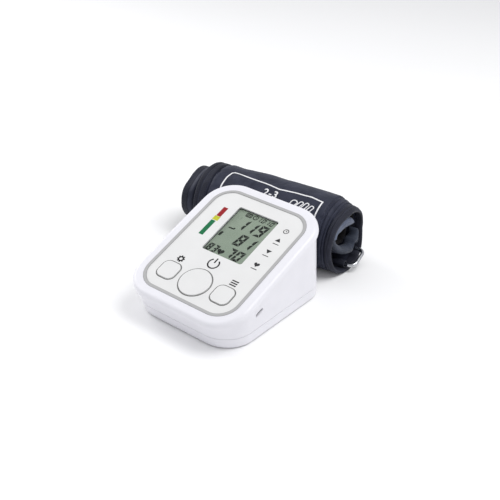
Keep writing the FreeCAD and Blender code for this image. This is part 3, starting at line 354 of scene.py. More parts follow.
# ---------------------------- display figures
# Dark segments on the glass. Seven segment figures lean to the right: the clock, then
# high pressure, low pressure and pulse, with the memory number and a heart at the left
# of the last row.
segment_lit = {"0": "abcdef", "1": "bc", "3": "abcdg", "7": "abc", "8": "abcdefg", "9": "abcdfg"}
figure_lean, segment_gap_share, field_inset = 0.19, 0.12, (0.5, 0.25)


def segment_outlines(width, height, thick, gap):
    """Outlines of the seven segments, on a figure's own axes from its lower left corner."""
    middle, half = height / 2, thick / 2
    top = [(gap, height), (width - gap, height), (width - gap - thick, height - thick),
           (gap + thick, height - thick)]
    upper_left = [(0, height - gap), (thick, height - gap - thick), (thick, middle + half + gap / 2),
                  (half, middle + gap / 2), (0, middle + gap)]
    near, far = thick + gap / 2, width - thick - gap / 2
    bridge = [(half + gap, middle), (near, middle + half), (far, middle + half),
              (width - half - gap, middle), (far, middle - half), (near, middle - half)]

    def mirrored(points, left_right, up_down):
        return [(width - x if left_right else x, height - y if up_down else y) for x, y in points]

    return {"a": top, "d": mirrored(top, False, True), "g": bridge, "f": upper_left,
            "b": mirrored(upper_left, True, False), "e": mirrored(upper_left, False, True),
            "c": mirrored(upper_left, True, True)}


def from_corner(right, down):
    """Place of a point measured from the top left corner of the field that the figures fill."""
    return (window_middle[0] - window_width / 2 + field_inset[0] + right,
            window_middle[1] + window_length / 2 - field_inset[1] - down)


def figure(shape, text, right, top, width, height, thick, pitch):
    """Draw figures that end at a right edge."""
    outlines = segment_outlines(width, height, thick, segment_gap_share * thick)
    for order, letter in enumerate(reversed(text)):
        low_x, low_y = from_corner(right - order * pitch - width, top + height)
        for name in segment_lit[letter]:
            fill(shape, [(low_x + x + figure_lean * (y - height / 2), low_y + y) for x, y in outlines[name]])


def bar(x, y, width, length, lean=0):
    """Outline of an upright bar that may lean to the right."""
    reach_x, reach_y, shift = width / 2, length / 2, lean / 2
    return [(x - reach_x - shift, y - reach_y), (x + reach_x - shift, y - reach_y),
            (x + reach_x + shift, y + reach_y), (x - reach_x + shift, y + reach_y)]


def heart(x, y, size):
    """Outline of a heart."""
    unit, points = size / 32, 28
    return [(x + unit * 16 * math.sin(turn) ** 3,
             y + unit * (13 * math.cos(turn) - 5 * math.cos(2 * turn) - 2 * math.cos(3 * turn)
                         - math.cos(4 * turn)))
            for turn in [math.tau * step / points for step in range(points)]]


def clock(shape, x, y, radius, line, hand_line, upright, across):
    """Draw a clock face with its two hands."""
    stroke(shape, arc(x, y, radius, 0, 345, 23), line, closed=True)
    stroke(shape, [(x, y + upright), (x, y), (x + across, y)], hand_line)


segment_ink = toned("segment_ink", 0.5, ((0.004, 0.005, 0.004), (0.008, 0.01, 0.008)), 5, (0.2, 0.003),
                    Specular_IOR_Level=0.12)
segments = bmesh.new()
for text, right, top, width, height, thick, pitch in (("119", 30.6, 6.5, 6.3, 11.4, 2.05, 8),
                                                      ("81", 30.6, 20.3, 6.3, 11.4, 2.05, 8),
                                                      ("70", 30.3, 34.4, 5.8, 9.8, 1.95, 7),
                                                      ("83", 9.7, 37.1, 4, 7.3, 1.5, 4.8),
                                                      ("1010", 31.6, 0.8, 2.5, 4.2, 0.78, 3.7)):
    figure(segments, text, right, top, width, height, thick, pitch)

# Small marks: a heart, the clock's colon, a leaning bar and a hook at the left, a clock
# face, and a frame with three bars.
fill(segments, heart(*from_corner(13, 41.3), 5.8))
for down in (1.9, 3.5):
    fill(segments, arc(*from_corner(24.8, down), 0.38, 0, 330, 11))
fill(segments, bar(*from_corner(1.8, 26.8), 2, 4.2, 0.7))
stroke(segments, [from_corner(3.2, 19.1), from_corner(7.8, 19.1), from_corner(8.2, 17.8)], 1.1)
clock(segments, *from_corner(15.6, 2.7), 1.85, 0.75, 0.45, 1, 0.8)
card_mark = from_corner(9.8, 2.8)
stroke(segments, rounded(*card_mark, 4.6, 3.2, 0.5), 0.8, closed=True)
for step in (-1, 0, 1):
    fill(segments, bar(card_mark[0] + 1.1 * step, card_mark[1], 0.7, 2.1))
print_on_glass("display_segments", segments, segment_ink, segment_top)

# Segments that are off show faintly, such as the sound waves at the upper left.
faint_ink = toned("faint_ink", 0.4, ((0.19, 0.235, 0.18), (0.22, 0.27, 0.21)), 6, (0.2, 0.003))
faint = bmesh.new()
wave_mark = from_corner(4.6, 8)
for radius in (1, 1.9):
    for start in (-50, 130):
        stroke(faint, arc(*wave_mark, radius, start, start + 100), 0.4)
print_on_glass("faint_marks", faint, faint_ink, faint_top)


# ---------------------------- overlay and trim ring
# A satin polycarbonate sheet with printed signs, glued into the recess of the upper
# shell, and the grey moulded ring that lies round it.
dress(moulded("overlay_satin", (0.76, 0.76, 0.755), 0.45, 0.18, 0.006), "panel_overlay")
dress(moulded("trim_grey", (0.42, 0.42, 0.42), 0.42, 0.3, 0.01), "trim_ring")


# ---------------------------- printed scale and signs
# Screen printed ink on the overlay: a scale of three colours beside the display, and
# signs over the buttons and beside the rows of the display.
print_low, print_high = -0.21, -0.17


def ink(name, colour, roughness=0.45):
    """Screen printed ink: slightly uneven, with the mesh's fine tooth."""
    return toned(name, roughness, ([0.8 * part for part in colour], colour), 1.2, (0.1, 0.006),
                 Specular_IOR_Level=0.2)


def print_on_panel(name, shape, material):
    stand(shape, print_low, print_high)
    piece(name, shape, material, "monitor", panel)


# The bands of the scale; the middle one is a little wider.
for name, material, u, width, low, high in (
        ("band_high", ink("band_red", (0.33, 0.012, 0.017)), -25.4, 3.9, 24.1, 33.8),
        ("band_middle", ink("band_yellow", (0.56, 0.58, 0.035)), -25.5, 5, 19.7, 23.9),
        ("band_low", ink("band_green", (0.006, 0.17, 0.062)), -25.9, 3.9, 3.6, 19.2)):
    scale_band = bmesh.new()
    fill(scale_band, bar(u, (low + high) / 2, width, high - low))
    print_on_panel(name, scale_band, material)

# Signs for the buttons: power over the big one, a gear and a list of records.
mark_ink = ink("mark_ink", (0.012, 0.012, 0.013))
marks = bmesh.new()
power_mark, power_reach, power_line = (1.1, -14.7), 4.2, 1.1
stroke(marks, arc(*power_mark, power_reach, 125, 415, 40), power_line)
fill(marks, bar(power_mark[0], power_mark[1] + 3, power_line, 4.6))


def toothed(x, y, radius, teeth, depth):
    """Outline of a small gear."""
    pitch = 360 / teeth
    return [point for tooth in range(teeth) for point in
            arc(x, y, radius, pitch * tooth, pitch * (tooth + 0.5), 2)
            + arc(x, y, radius - depth, pitch * (tooth + 0.52), pitch * (tooth + 0.98), 2)]


gear, gear_radius, gear_eye, gear_teeth, tooth_depth = Vector((-22.9, -22)), 3.1, 1.2, 8, 0.7
gear_outline = toothed(*gear, gear_radius, gear_teeth, tooth_depth)
band(marks, gear_outline, [gear + gear_eye * (Vector(point) - gear).normalized() for point in gear_outline])
stack, stack_pitch = (25.1, -22.2), 1.9
for step in (-1, 0, 1):
    fill(marks, bar(stack[0], stack[1] + stack_pitch * step, 5.6, 0.95))
print_on_panel("button_marks", marks, mark_ink)

# Signs beside the rows of the display: clock, up and down arrows, heart, each with a
# short rule under it but the first.
sign_ink = ink("sign_ink", (0.04, 0.04, 0.042))
signs = bmesh.new()
sign_u, clock_v, high_v, low_v, pulse_v = 28.7, 34, 24.6, 12.4, -1.2
clock(signs, sign_u, clock_v, 1.9, 0.6, 0.5, 1.2, 0.9)
for middle, way in ((high_v, 1), (low_v, -1)):
    fill(signs, [(sign_u - 2.2, middle - 1.5 * way), (sign_u + 2.2, middle - 1.5 * way),
                 (sign_u, middle + 1.9 * way)])
fill(signs, heart(sign_u, pulse_v, 4.4))
for middle in (high_v, low_v, pulse_v):
    fill(signs, bar(sign_u + 0.3, middle - 4, 5, 0.6))
print_on_panel("row_signs", signs, sign_ink)


# ---------------------------- buttons
# Three caps of the same white as the panel, each in an opening with a grey line printed
# round it.
button_row = (0.4, -34.3)
button_pitch = 24.1
power_radius, side_button, side_corner = 11.75, 14.6, 4.6
line_width, line_gap = 0.6, 0.35
dress(moulded("button_white", (0.76, 0.76, 0.755), 0.42, 0.25, 0.01), "left_button", "power_button",
      "right_button")
lines = bmesh.new()
away = line_gap + line_width / 2
for step in (-1, 1):
    stroke(lines, rounded(button_row[0] + step * button_pitch, button_row[1], side_button + 2 * away,
                          side_button + 2 * away, side_corner + away), line_width, closed=True)
stroke(lines, arc(*button_row, power_radius + away, 0, 354, 59), line_width, closed=True)
print_on_panel("button_lines", lines, ink("line_ink", (0.2, 0.2, 0.195)))


# ---------------------------- outer wrap
# The cuff is one long strip of coated nylon, rolled up on its lining, with a bladder
# sewn into the part that ends up inside. This is its outer turn, which swells between
# its seams. The roll lies on its side, and the seams draw its right end in.
roll_place, roll_yaw = (39.6, 90.996, 0), 8
roll = (Matrix.Translation([part * mm for part in roll_place])
        @ Matrix.Rotation(math.radians(roll_yaw), 4, "Z"))

# Heights count from the table, and places along the roll from its right end, so that
# they are negative. Each place in drawn_in draws the roll in by a share.
roll_length, roll_depth, roll_height = 125, 55.8, 57.8
roll_middle = roll_height / 2 + 0.1
wrap_thick = 2.3
binding_right, binding_left = -6.4, 9.6 - roll_length
seam_lines = (-13.6, -10.2)
drawn_in = {-13.6: 0.024, -10.2: 0.03, -6.4: 0.038, -2.2: 0.036}
step_reach, rim_start, rim_up, rim_front = 1.4, -14, 29, 28


def ease(value):
    """Smooth step from 0 to 1."""
    value = min(max(value, 0), 1)
    return value * value * (3 - 2 * value)


def bulge(turn, middle, width):
    """Smooth bump from 0 to 1 round the roll."""
    away = (turn - middle + math.pi) % math.tau - math.pi
    return math.exp(-(away / width) ** 2)


def oval(turn, depth, height, y, z, corner):
    """Point of a rounded section; turn is in radians from the top towards the front."""
    nearly_round = 0.92
    across, up = math.sin(turn), math.cos(turn)
    squareness = nearly_round - 2 * corner * max(0, -across) * max(0, -up)
    return Vector((y - depth / 2 * math.copysign(abs(across) ** squareness, across),
                   z + height / 2 * math.copysign(abs(up) ** squareness, up)))


def settle(x, y, z, drawn):
    """Draw the roll in step by step at its right end, let it sag, and lean its rim."""
    amount = drawn * sum(step * ease((x - seam + step_reach) / (2 * step_reach))
                         for seam, step in drawn_in.items())
    sag = sum(share * ease((x - start) / run) for share, start, run in
              ((0.024 * drawn, -113, 14), (0.03, -90, -32), (0.035, -roll_length, -10)))
    low_lean, front_lean, front_share, back_share = 3.4, 3, 0.6, -0.3
    lean = low_lean * max(0, 1 - z / rim_up) - front_lean * max(0, -y / rim_front)
    narrowed = (front_share if y < 0 else back_share) * amount
    return Vector((x + ease((x - rim_start) / -rim_start) * lean, y * (1 - narrowed),
                   z * (1 - amount - sag)))


def ripple(x, turn, height, seed):
    """Soft waves of the cloth, in millimetres outwards: broad ones, and fine ones half as high."""
    broad, fine = (noise.noise(Vector((x * along + seed, around * math.cos(turn), around * math.sin(turn))))
                   for along, around in ((0.045, 2.2), (0.12, 5)))
    return height * (broad + 0.5 * fine)


end_start, end_run, corner_along, corner_more_at_end = -36, 30, 0.16, 0.11
waist_width, dent_start, dent_run, dent_turn, dent_width = 1.3, -126, 8, 0.5, 0.55


class Turn:
    """One turn of the roll: its outer section, how its cloth waves, and how it ends.

    end is the section at the right end and tilt how far that drops towards the back;
    drawn is how far the seams draw the turn in, waist a place along the roll and a depth
    where the wrap's edge grips it, and dent how far its left end has sunk in. lifted is
    a rule for the height of a point of a turn that lies on something.
    """

    def __init__(self, section, wave, seed, end=None, tilt=0, drawn=1, waist=(0, 0), dent=0,
                 lifted=None):
        self.section, self.end, self.tilt = section, end or section, tilt
        self.wave, self.seed, self.drawn = wave, seed, drawn
        self.waist, self.dent, self.lifted = waist, dent, lifted

    def point(self, x, turn, inwards):
        """Place on the turn, a distance inwards from its outside."""
        nudge, table_gap = 0.01, 0.02
        near_end = ease((x - end_start) / end_run)
        depth, height, y, z = [here + (there - here) * near_end
                               for here, there in zip(self.section, self.end)]
        corner = corner_along + corner_more_at_end * near_end
        here = oval(turn, depth, height, y, z, corner)
        along = (oval(turn + nudge, depth, height, y, z, corner) - here).normalized()
        outwards = Vector((-along.y, along.x))
        if outwards.dot(here - Vector((y, z))) < 0:
            outwards = -outwards
        place, deep = self.waist
        inwards += deep * math.exp(-((x - place) / waist_width) ** 2)
        inwards += self.dent * ease((dent_start - x) / dent_run) * bulge(turn, dent_turn, dent_width)
        here = here + outwards * (ripple(x, turn, self.wave, self.seed) - inwards)
        here.y -= self.tilt * near_end * (here.x - y)
        settled = settle(x, here.x, max(here.y, table_gap), self.drawn)
        if self.lifted:
            settled.z = self.lifted(*settled)
        return settled


def stations(left, right, radius, step, lines):
    """Places along a sleeve with how open it is there, from 0 at its round ends to 1.

    They lie close together near the lines where the cloth is pulled in.
    """
    curve_parts, line_parts, line_step, closest = 5, 5, 0.35, 0.25
    curved = [(radius * (1 - math.cos(angle)), math.sin(angle))
              for angle in [math.pi / 2 * part / curve_parts for part in range(curve_parts)]]
    low, high = left + radius, right - radius
    runs = max(2, round((high - low) / step))
    wanted = [low + (high - low) * part / runs for part in range(runs + 1)]
    wanted += [line + line_step * part for line in lines for part in range(-line_parts, line_parts + 1)
               if low < line + line_step * part < high]
    straight = []
    for x in sorted(wanted):
        if not straight or x - straight[-1] > closest:
            straight.append(x)
    return ([(left + away, share) for away, share in curved] + [(x, 1) for x in straight]
            + [(right - away, share) for away, share in reversed(curved)])


def value_at(rule, x, turn):
    return rule(x, turn) if callable(rule) else rule


def sleeve(wound, left, right, middle, half, start=0, stop=math.tau, around=120, step=1.6, lines=()):
    """Closed padded sleeve round the roll, or part of one between two turns.

    middle is how far inwards its middle lies and half is half its thickness, both
    numbers or rules of the place along and round the roll.
    """
    roundest, tapered = 4, 0.1
    along = stations(left, right, min(value_at(half, right, (start + stop) / 2), roundest), step, lines)
    loop = along + along[::-1]
    count = len(loop)
    shape = bmesh.new()
    bmesh.ops.create_grid(shape, x_segments=count, y_segments=around, size=1)
    weave = shape.loops.layers.uv.new("weave")
    length = [0]
    for (x, open_here), (next_x, open_next) in zip(loop, loop[1:] + loop[:1]):
        length.append(length[-1] + math.hypot(next_x - x, open_next - open_here))
    girth = sum(wound.section[:2]) * math.pi / 4
    for face in shape.faces:
        for corner in face.loops:
            part = (corner.vert.co.y + 1) / 2
            corner[weave].uv = (length[round((corner.vert.co.x + 1) / 2 * count)] * mm,
                                (start + (stop - start) * part) / math.tau * girth * mm)
    for vert in shape.verts:
        order = round((vert.co.x + 1) / 2 * count) % count
        x, share = loop[order]
        part = (vert.co.y + 1) / 2
        turn = start + (stop - start) * part
        if stop - start < math.tau:
            into_taper = max(0, abs(2 * part - 1) - (1 - tapered)) / tapered
            share *= math.sqrt(max(0, 1 - into_taper ** 2))
        side = -1 if order < count / 2 else 1
        vert.co = wound.point(x, turn, value_at(middle, x, turn) + side * share * value_at(half, x, turn))
    bmesh.ops.remove_doubles(shape, verts=shape.verts, dist=0.0005)
    bmesh.ops.recalc_face_normals(shape, faces=shape.faces)
    return shape


def cloth(name, dark, light, thread, depth, roughness, sheen):
    """Woven cloth on the piece's own map: threads both ways, faded a little in places."""
    wave_length = 0.314
    made = finish(name, roughness, Sheen_Weight=sheen, Sheen_Roughness=0.4, Specular_IOR_Level=0.2)
    tree = made.node_tree
    own = tree.nodes.new("ShaderNodeUVMap")
    own.uv_map = "weave"
    threads = wire(made, "Mapping", Vector=own.outputs["UV"],
                   Scale=(1 / mm, 1 / mm, 1 / mm)).outputs["Vector"]
    across = wire(made, "Mapping", Vector=threads, Rotation=(0, 0, math.pi / 2)).outputs["Vector"]
    one_way, other = (wire(made, "TexWave", Vector=line, Scale=wave_length / thread,
                           Distortion=0.6, Detail=1, Detail_Scale=0.3).outputs["Fac"]
                      for line in (threads, across))
    woven = wire(made, "Math", Value=one_way)
    woven.operation = "MULTIPLY"
    tree.links.new(other, woven.inputs[1])
    where = in_object(made)
    faded = mottled(made, where, dark, light, size=11, detail=5, edge=0.32)
    shade = wire(made, "MixRGB", Fac=0.35, Color1=faded, Color2=woven.outputs["Value"])
    shade.blend_type = "MULTIPLY"
    drive(made, "Base Color", shade.outputs["Color"])
    creases = wire(made, "TexNoise", Vector=where, Scale=1 / 6, Detail=4)
    folds = wire(made, "Bump", Height=creases.outputs["Fac"], Strength=0.7, Distance=1.1 * mm)
    drive(made, "Normal", wire(made, "Bump", Height=woven.outputs["Value"], Strength=0.6,
                               Distance=depth * mm, Normal=folds.outputs["Normal"]).outputs["Normal"])
    return made


nylon = cloth("nylon", (0.022, 0.026, 0.047), (0.044, 0.049, 0.08), 0.55, 0.05, 0.55, 0.04)

# The wrap is sewn through at two seams and beside its bindings.
wrap = Turn((roll_depth, roll_height, 0, roll_middle), 0.5, 3)
edge_inset = 0.5
wrap_lines = (*seam_lines, binding_right - 0.9, binding_left + 0.8)
groove_depths, groove_widths = (1.3, 1.3, 1.9, 2), (0.55, 0.55, 0.65, 0.75)


def seam_depth(x):
    """How far the seams pull the outside of the wrap in."""
    return sum(depth * math.exp(-((x - line) / width) ** 2)
               for line, depth, width in zip(wrap_lines, groove_depths, groove_widths))


def billow(shape, held, growth, cap, frames=20):
    """Let the cloth swell between its seams: held rules a vertex's hold from 0 to 1.

    The simulation works at ten times the real size, and cap limits a vertex's travel.
    """
    large = 10
    mesh = bpy.data.meshes.new("billow")
    bmesh.ops.scale(shape, vec=(large * mm,) * 3, verts=shape.verts)
    shape.to_mesh(mesh)
    bmesh.ops.scale(shape, vec=(1 / (large * mm),) * 3, verts=shape.verts)
    swollen = bpy.data.objects.new("billow", mesh)
    scene.collection.objects.link(swollen)
    hold = swollen.vertex_groups.new(name="hold")
    for vert in shape.verts:
        hold.add([vert.index], held(vert), "REPLACE")
    fabric = swollen.modifiers.new("fabric", "CLOTH")
    fabric.settings.vertex_group_mass = "hold"
    fabric.settings.use_pressure = True
    fabric.settings.uniform_pressure_force = 4
    fabric.settings.shrink_min = -growth
    fabric.settings.effector_weights.gravity = 0
    fabric.settings.bending_stiffness = 0.8
    fabric.settings.tension_stiffness = fabric.settings.compression_stiffness = 20
    fabric.point_cache.frame_start, fabric.point_cache.frame_end = 1, frames
    for frame_number in range(1, frames + 1):
        scene.frame_set(frame_number)
    settled = swollen.evaluated_get(bpy.context.evaluated_depsgraph_get()).to_mesh()
    for vert, after in zip(shape.verts, settled.vertices):
        shift = after.co / (large * mm) - vert.co
        vert.co += shift * min(1, cap(vert) / max(shift.length, 1e-6))
    bpy.data.objects.remove(swollen)
    scene.frame_set(1)


wrap_shape = sleeve(wrap, edge_inset - roll_length, -edge_inset,
                    lambda x, turn: wrap_thick / 2 + seam_depth(x) / 2,
                    lambda x, turn: wrap_thick / 2 - seam_depth(x) / 2, lines=wrap_lines)
wrap_shape.verts.ensure_lookup_table()


def outside(vert):
    """Whether a vertex of the wrap lies on its outside."""
    return vert.normal.yz.dot(vert.co.yz - Vector((0, roll_middle))) > 0


def wrap_hold(vert):
    """The cloth is held at its seams, under its bindings, inside and on the table."""
    held_by_seam, held_by_table = 1.1, 2
    x = vert.co.x
    near_seam = min(abs(x - line) for line in wrap_lines) < held_by_seam
    free = (binding_left < x < binding_right and vert.co.z > held_by_table and outside(vert)
            and not near_seam)
    return 0 if free else 1


def wrap_cap(vert):
    """The cloth keeps clear of the case in front, and moves more elsewhere."""
    front, travel_in_front, travel = -0.36 * roll_depth, 0.12, 1.3
    return travel_in_front if vert.co.y < front else travel


wrap_shape.normal_update()
billow(wrap_shape, wrap_hold, growth=0.05, cap=wrap_cap)
outer = piece("cuff_wrap", wrap_shape, nylon, "cuff", roll, True)
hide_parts("outer_wrap")


# ---------------------------- edge bindings
# Woven tape folded over both edges of the wrap and sewn through. It is fuller where it
# turns over the front shoulder at the right, and stands proud at the left.
tape_cloth = cloth("tape_cloth", (0.016, 0.018, 0.03), (0.03, 0.033, 0.052), 0.8, 0.08, 0.6, 0.05)
sewn_share, sewn_depth, sewn_width, tape_proud = 0.45, 1.1, 0.5, 0.4
for name, node, left, right, fullness, shoulder in (
        ("wrap_binding_right", "right_binding", binding_right, 0, 2, 0.85),
        ("wrap_binding_left", "left_binding", -roll_length, binding_left, 0.5, 0)):
    sewn_line = left + sewn_share * (right - left)

    def outwards(x, turn):
        return fullness * bulge(turn, shoulder, 0.5)

    def tucked(x):
        """The tape dips where it is sewn down."""
        return sewn_depth * math.exp(-((x - sewn_line) / sewn_width) ** 2)

    tape = sleeve(wrap, left, right, lambda x, turn: wrap_thick / 2 + (tucked(x) - outwards(x, turn)) / 2,
                  lambda x, turn: wrap_thick / 2 + tape_proud + (outwards(x, turn) - tucked(x)) / 2,
                  step=0.8, lines=(sewn_line,))
    bound = piece(name, tape, tape_cloth, "cuff", roll, True)
    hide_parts(node)


# ---------------------------- inner turn
# The next turn of the same nylon, bound at its left edge. The wrap's edge grips it at
# the left, and its right end sags to a flat loop. It lies on the tension ring.
turn_left, mouth, nylon_half = -138, -1.6, 0.8
waist_line, waist_deep, dent_line, dent_deep = -126.2, 2, -131.6, 3.3
wire_y, wire_half_room, wire_edge, wire_start, wire_press = 16.6, 2.9, 3, -32, 7.2
bend_front, bend_start, bend_press, pressed_below = -2, -119, 1.8, 10


def over_ring(x, y, z):
    """Height of a point of the inner turn, which lies on the ring's back wire and its bend.

    They keep a channel there, wide and high enough for all of the ring's swing.
    """
    along_wire = (1 - ease((abs(y - wire_y) - wire_half_room) / wire_edge)) * ease((x - wire_start) / 8)
    along_bend = ease((y - bend_front) / 5) * ease((bend_start - x) / 7)
    return z + (wire_press * along_wire + bend_press * along_bend) * (1 - ease((z - pressed_below) / 14))


inner_turn = Turn((44.6, 44.2, -2.1, 32.3), 0.4, 11, end=(46.4, 33.6, 1, 28.6), drawn=0,
                  waist=(waist_line, waist_deep), dent=dent_deep, tilt=0.38, lifted=over_ring)
inner = piece("cuff_turn", sleeve(inner_turn, turn_left, mouth - 6, nylon_half, nylon_half,
                                  lines=(waist_line, dent_line)),
              nylon, "cuff", roll, True)
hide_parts("inner_turn")
edge_left, edge_right, edge_middle, edge_half = turn_left - 0.4, turn_left + 6, 0.9, 1.3
turn_binding = piece("turn_binding", sleeve(inner_turn, edge_left, edge_right, edge_middle, edge_half,
                                            step=0.8),
                     tape_cloth, "cuff", roll, True)


# ---------------------------- bladder and lining
# The bladder is a flat bag of soft rubber against the inside of the inner turn, and the
# blue lining lies over it. Both end short of the turn's ends.
bag_left, bag_right, bag_middle, bag_half = turn_left + 8, mouth - 12.5, 3.1, 1.2
lining_left, lining_right, lining_middle, lining_half = turn_left + 1, mouth - 11, 5.3, 0.8
bag_rubber = moulded("bag_rubber", (0.05, 0.05, 0.055), 0.6, 1.2, 0.05)
bag = piece("cuff_bladder", sleeve(inner_turn, bag_left, bag_right, bag_middle, bag_half), bag_rubber,
            "cuff", roll, True)
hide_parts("bladder")
lining_cloth = cloth("lining_cloth", (0.085, 0.105, 0.16), (0.14, 0.17, 0.25), 0.5, 0.06, 0.6, 0.1)
inside = piece("cuff_lining", sleeve(inner_turn, lining_left, lining_right, lining_middle, lining_half),
               lining_cloth, "cuff", roll, True)
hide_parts("lining")


# ---------------------------- free end
# The free end of the strip, faced with loop cloth, lies folded in the core of the
# roll and fills it most of all halfway along. Its near black colour is painted shade
# for the dark deep in the core.
tail_left, tail_right, tail_middle, tail_half = turn_left + 2.4, mouth - 7.8, 8, 1.4
# Near black: painted shade in the core of the roll.
loop_cloth_painted_shade = cloth("loop_cloth_painted_shade", (0.006, 0.006, 0.008), (0.012, 0.011, 0.013), 1.1, 0.4, 0.85, 0.05)


def filling(x):
    """How far the folds of the free end reach into the core."""
    most, halfway, reach = 5, -70, 55
    return most * ease(1 - abs(x - halfway) / reach)


tail = piece("cuff_free_end", sleeve(inner_turn, tail_left, tail_right,
                                     lambda x, turn: tail_middle + filling(x),
                                     lambda x, turn: tail_half + filling(x)),
             loop_cloth_painted_shade, "cuff", roll, True)
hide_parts("folded_end")


# ---------------------------- mouth of the roll
# At the right end the lining is folded over the edge in front, and a loop of cloth
# curls round below and behind it; this loop is coloured darker than the fold as painted shade.
fold_left, fold_under = mouth - 7.5, 0.4
# The lower loop's cloth is a darker copy of the lining: painted shade under the lit fold.
painted_shade_lining = cloth("painted_shade_lining", (0.034, 0.043, 0.067), (0.068, 0.081, 0.115), 0.5, 0.06, 0.55, 0.08)
for name, material, thick, start, stop, past_end in (("cuff_fold", lining_cloth, 5.6, -0.42, 1.75, 1),
                                                     ("cuff_shaded_lower_loop", painted_shade_lining, 3.7, 1.5, 5.1, 0.4)):
    def roundness(x, turn):
        """Half the thickness: full in the middle and less towards both ends."""
        return thick * (0.55 + 0.45 * math.sin(math.pi * (turn - start) / (stop - start)))

    fold = piece(name, sleeve(inner_turn, fold_left, mouth + past_end,
                              lambda x, turn: fold_under + roundness(x, turn), roundness, start=start,
                              stop=stop, around=70, step=0.8), material, "cuff", roll, True)


# ---------------------------- tension ring
# The strip is pulled through a ring of chromed steel wire. The ring's front wire turns in
# a sleeve of the binding's cloth, low in the roll.
hem_left, hem_right, hem_half = 2.4 - roll_length, -1.4, 0.55
hem_turn = Turn((5.8, 5.8, -2, 5.8), 0.1, 5, drawn=0)
hem = piece("ring_sleeve", sleeve(hem_turn, hem_left, hem_right, hem_half, hem_half, around=28), tape_cloth,
            "cuff", roll, True)
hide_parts("ring_hem")
chrome = finish("chrome", 0.14, 1)
where = in_object(chrome)
drive(chrome, "Base Color", mottled(chrome, where, (0.42, 0.43, 0.45), (0.6, 0.61, 0.63), 2.5))
rub(chrome, where, 0.08, 0.2, 4)
dress(chrome, "tension_ring")


# ---------------------------- hook tape and hose port
# Black hook tape is sewn inside the wrap, at the back. The hose port is a moulded black
# nozzle fixed to the bladder.
hook_inset, hook_left, hook_right, hook_half, hook_start, hook_stop = 2.8, -118.5, -7.5, 0.45, -2.25, -0.9
hook_turn = Turn((roll_depth - 2 * hook_inset, roll_height - 2 * hook_inset, 0, roll_middle), 0.1, 7)
hook_cloth = cloth("hook_cloth", (0.012, 0.012, 0.015), (0.024, 0.024, 0.028), 1.4, 0.5, 0.8, 0.1)
hook = piece("hook_strip", sleeve(hook_turn, hook_left, hook_right, hook_half, hook_half,
                                  start=hook_start, stop=hook_stop, around=40),
             hook_cloth, "cuff", roll, True)
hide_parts("hook_tape")
dress(moulded("port_black", (0.03, 0.03, 0.032), 0.4, 0.3, 0.02), "hose_port")


# ---------------------------- stitching and print
# Rows of stitches along the seams and bindings, and white ink: a frame line, plain
# figures for the distance to the elbow, and an open hand.
outer_tree = BVHTree.FromObject(outer, bpy.context.evaluated_depsgraph_get())


def on_wrap(x, turn, lift):
    """Place on the finished outside of the wrap, found by a ray from well outside it."""
    ray_start = 45
    across, up = math.sin(turn), math.cos(turn)
    axis = roll @ (Vector((x, 0, roll_height / 2)) * mm)
    way = (roll.to_3x3() @ Vector((0, -across, up))).normalized()
    hit, normal, _, _ = outer_tree.ray_cast(axis + way * ray_start * mm, -way)
    return roll.inverted() @ (hit + normal * lift * mm) / mm


stitch_long, stitch_gap, stitch_wide, stitch_lift = 2.1, 1.0, 0.36, 0.05
row_gap, on_the_table = 1.6, -0.86
stitch_reach = roll_depth * 0.5
stitches = int(math.tau * stitch_reach / (stitch_long + stitch_gap))
thread = ink("thread", (0.022, 0.024, 0.042), 0.7)
stitch_shape = bmesh.new()
for row in (*seam_lines, seam_lines[0] - row_gap, binding_right - row_gap, binding_left + row_gap):
    for order in range(stitches):
        turn = math.tau * order / stitches
        if math.cos(turn) < on_the_table:
            continue
        ends = [on_wrap(row, turn + side * stitch_long / 2 / stitch_reach, stitch_lift)
                for side in (-1, 0, 1)]
        made = bmesh.ops.create_cone(stitch_shape, cap_ends=True, segments=6, radius1=stitch_wide / 2,
                                     radius2=stitch_wide / 2, depth=stitch_long)["verts"]
        run = (ends[2] - ends[0]).normalized()
        place = Matrix.Translation(ends[1]) @ run.to_track_quat("Z", "X").to_matrix().to_4x4()
        bmesh.ops.transform(stitch_shape, matrix=place, verts=made)
piece("cuff_stitches", stitch_shape, thread, "cuff", roll)

print_lift, print_thick = 0.06, 0.12
girth_radius = 28.4


def lay_on_wrap(shape):
    """Lay flat shapes on the roll: x along it, y round it from the top towards the front.

    They are cut at every millimetre first, so that they can follow it.
    """
    cuts = [((1, 0, 0), (along, 0, 0)) for along in range(-110, -10)]
    cuts += [((0, 1, 0), (0, -around, 0)) for around in range(60)]
    for normal, place in cuts:
        bmesh.ops.bisect_plane(shape, geom=shape.verts[:] + shape.edges[:] + shape.faces[:],
                               plane_co=place, plane_no=normal)
    for vert in shape.verts:
        x, around, height = vert.co
        vert.co = on_wrap(x, -around / girth_radius, print_lift + height)


def print_on_wrap(name, shape):
    stand(shape, print_thick, 0)
    lay_on_wrap(shape)
    piece(name, shape, white_ink, "cuff", roll)


white_ink = ink("white_ink", (0.9, 0.9, 0.91), 0.5)
frame_line = bmesh.new()
stroke(frame_line, [(-104, -44), (-104, -21), (-103.4, -11), (-102.3, -5.4), (-100.6, -4), (-97, -4.2),
                    (-84, -6), (-71, -7.2), (-57.5, -9.2), (-44, -7.8), (-31, -7.4), (-20.6, -9),
                    (-21, -22), (-21.4, -44)], 1.15, closed=True)
print_on_wrap("cuff_frame_print", frame_line)

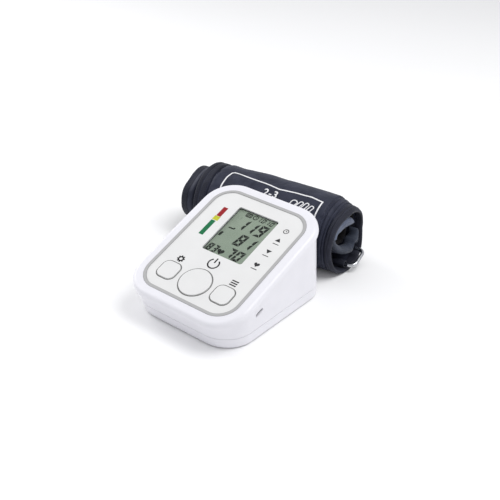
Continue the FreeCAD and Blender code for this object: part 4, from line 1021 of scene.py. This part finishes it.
figures_place = (-68.2, -18.2, 0)
figures_curve = bpy.data.curves.new("cuff_figures", "FONT")
figures_curve.body = "2-3"
figures_curve.size, figures_curve.offset = 8.6, 0.16
figures_curve.space_character = 1.12
figures_object = bpy.data.objects.new("cuff_figures", figures_curve)
scene.collection.objects.link(figures_object)
figures_mesh = bpy.data.meshes.new_from_object(
    figures_object.evaluated_get(bpy.context.evaluated_depsgraph_get()))
figures = bmesh.new()
figures.from_mesh(figures_mesh)
bpy.data.objects.remove(figures_object)
bmesh.ops.translate(figures, vec=figures_place, verts=figures.verts)
print_on_wrap("cuff_figures_print", figures)

# The hand: a thumb and leaning fingers, each an open loop.
hand = bmesh.new()
finger_wide, finger_pitch, finger_lean, hand_line = 1.5, 4.6, 4.4, 0.8
for order, (reach, tip_y) in enumerate(((9, -14.6), (10, -14.4), (9, -15.6))):
    tip_x = -35 + finger_pitch * order
    base_x = tip_x - finger_lean
    stroke(hand, [(base_x - finger_wide, tip_y - reach)]
           + arc(tip_x, tip_y - finger_wide, finger_wide, 165, 0, 7)
           + [(base_x + finger_wide, tip_y - reach)], hand_line)
stroke(hand, [(-45.6, -25)] + arc(-40.6, -17.6, 2.6, 150, 20, 7) + [(-41.6, -22.6)], hand_line)
print_on_wrap("cuff_hand_print", hand)


# ---------------------------- room
# A plain pale floor, an even pale room, a large soft light high at the back right, and
# a weak one at the left.
floor_reach, floor_dark, floor_light, floor_patch = 4, (0.95, 0.95, 0.95), (0.96, 0.96, 0.96), 300
floor_paint = finish("floor_paint", 0.6)
drive(floor_paint, "Base Color", mottled(floor_paint, in_object(floor_paint), floor_dark, floor_light,
                                         floor_patch))
floor_shape = bmesh.new()
bmesh.ops.create_grid(floor_shape, x_segments=1, y_segments=1, size=floor_reach)
floor_mesh = bpy.data.meshes.new("floor")
floor_shape.to_mesh(floor_mesh)
floor_shape.free()
floor_mesh.materials.append(floor_paint)
floor = bpy.data.objects.new("floor", floor_mesh)
scene.collection.objects.link(floor)
floor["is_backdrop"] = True

sky_colour, sky_strength = (0.97, 0.975, 1, 1), 0.67
sky = bpy.data.worlds.new("studio")
sky.use_nodes = True
background = sky.node_tree.nodes["Background"]
background.inputs["Color"].default_value = sky_colour
background.inputs["Strength"].default_value = sky_strength
scene.world = sky
lit_point = Vector((0, 0.02, 0.03))
for name, place, size, power in (("key_light", (0.5, 0.3, 1.1), 0.7, 7.5),
                                 ("fill_light", (-0.9, -0.05, 0.45), 0.8, 4)):
    lamp = bpy.data.lights.new(name, "AREA")
    lamp.size, lamp.energy = size, power
    light = bpy.data.objects.new(name, lamp)
    light.location = place
    light.rotation_euler = (Vector(place) - lit_point).to_track_quat("Z", "Y").to_euler()
    scene.collection.objects.link(light)

bpy.context.view_layer.update()
low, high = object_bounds()
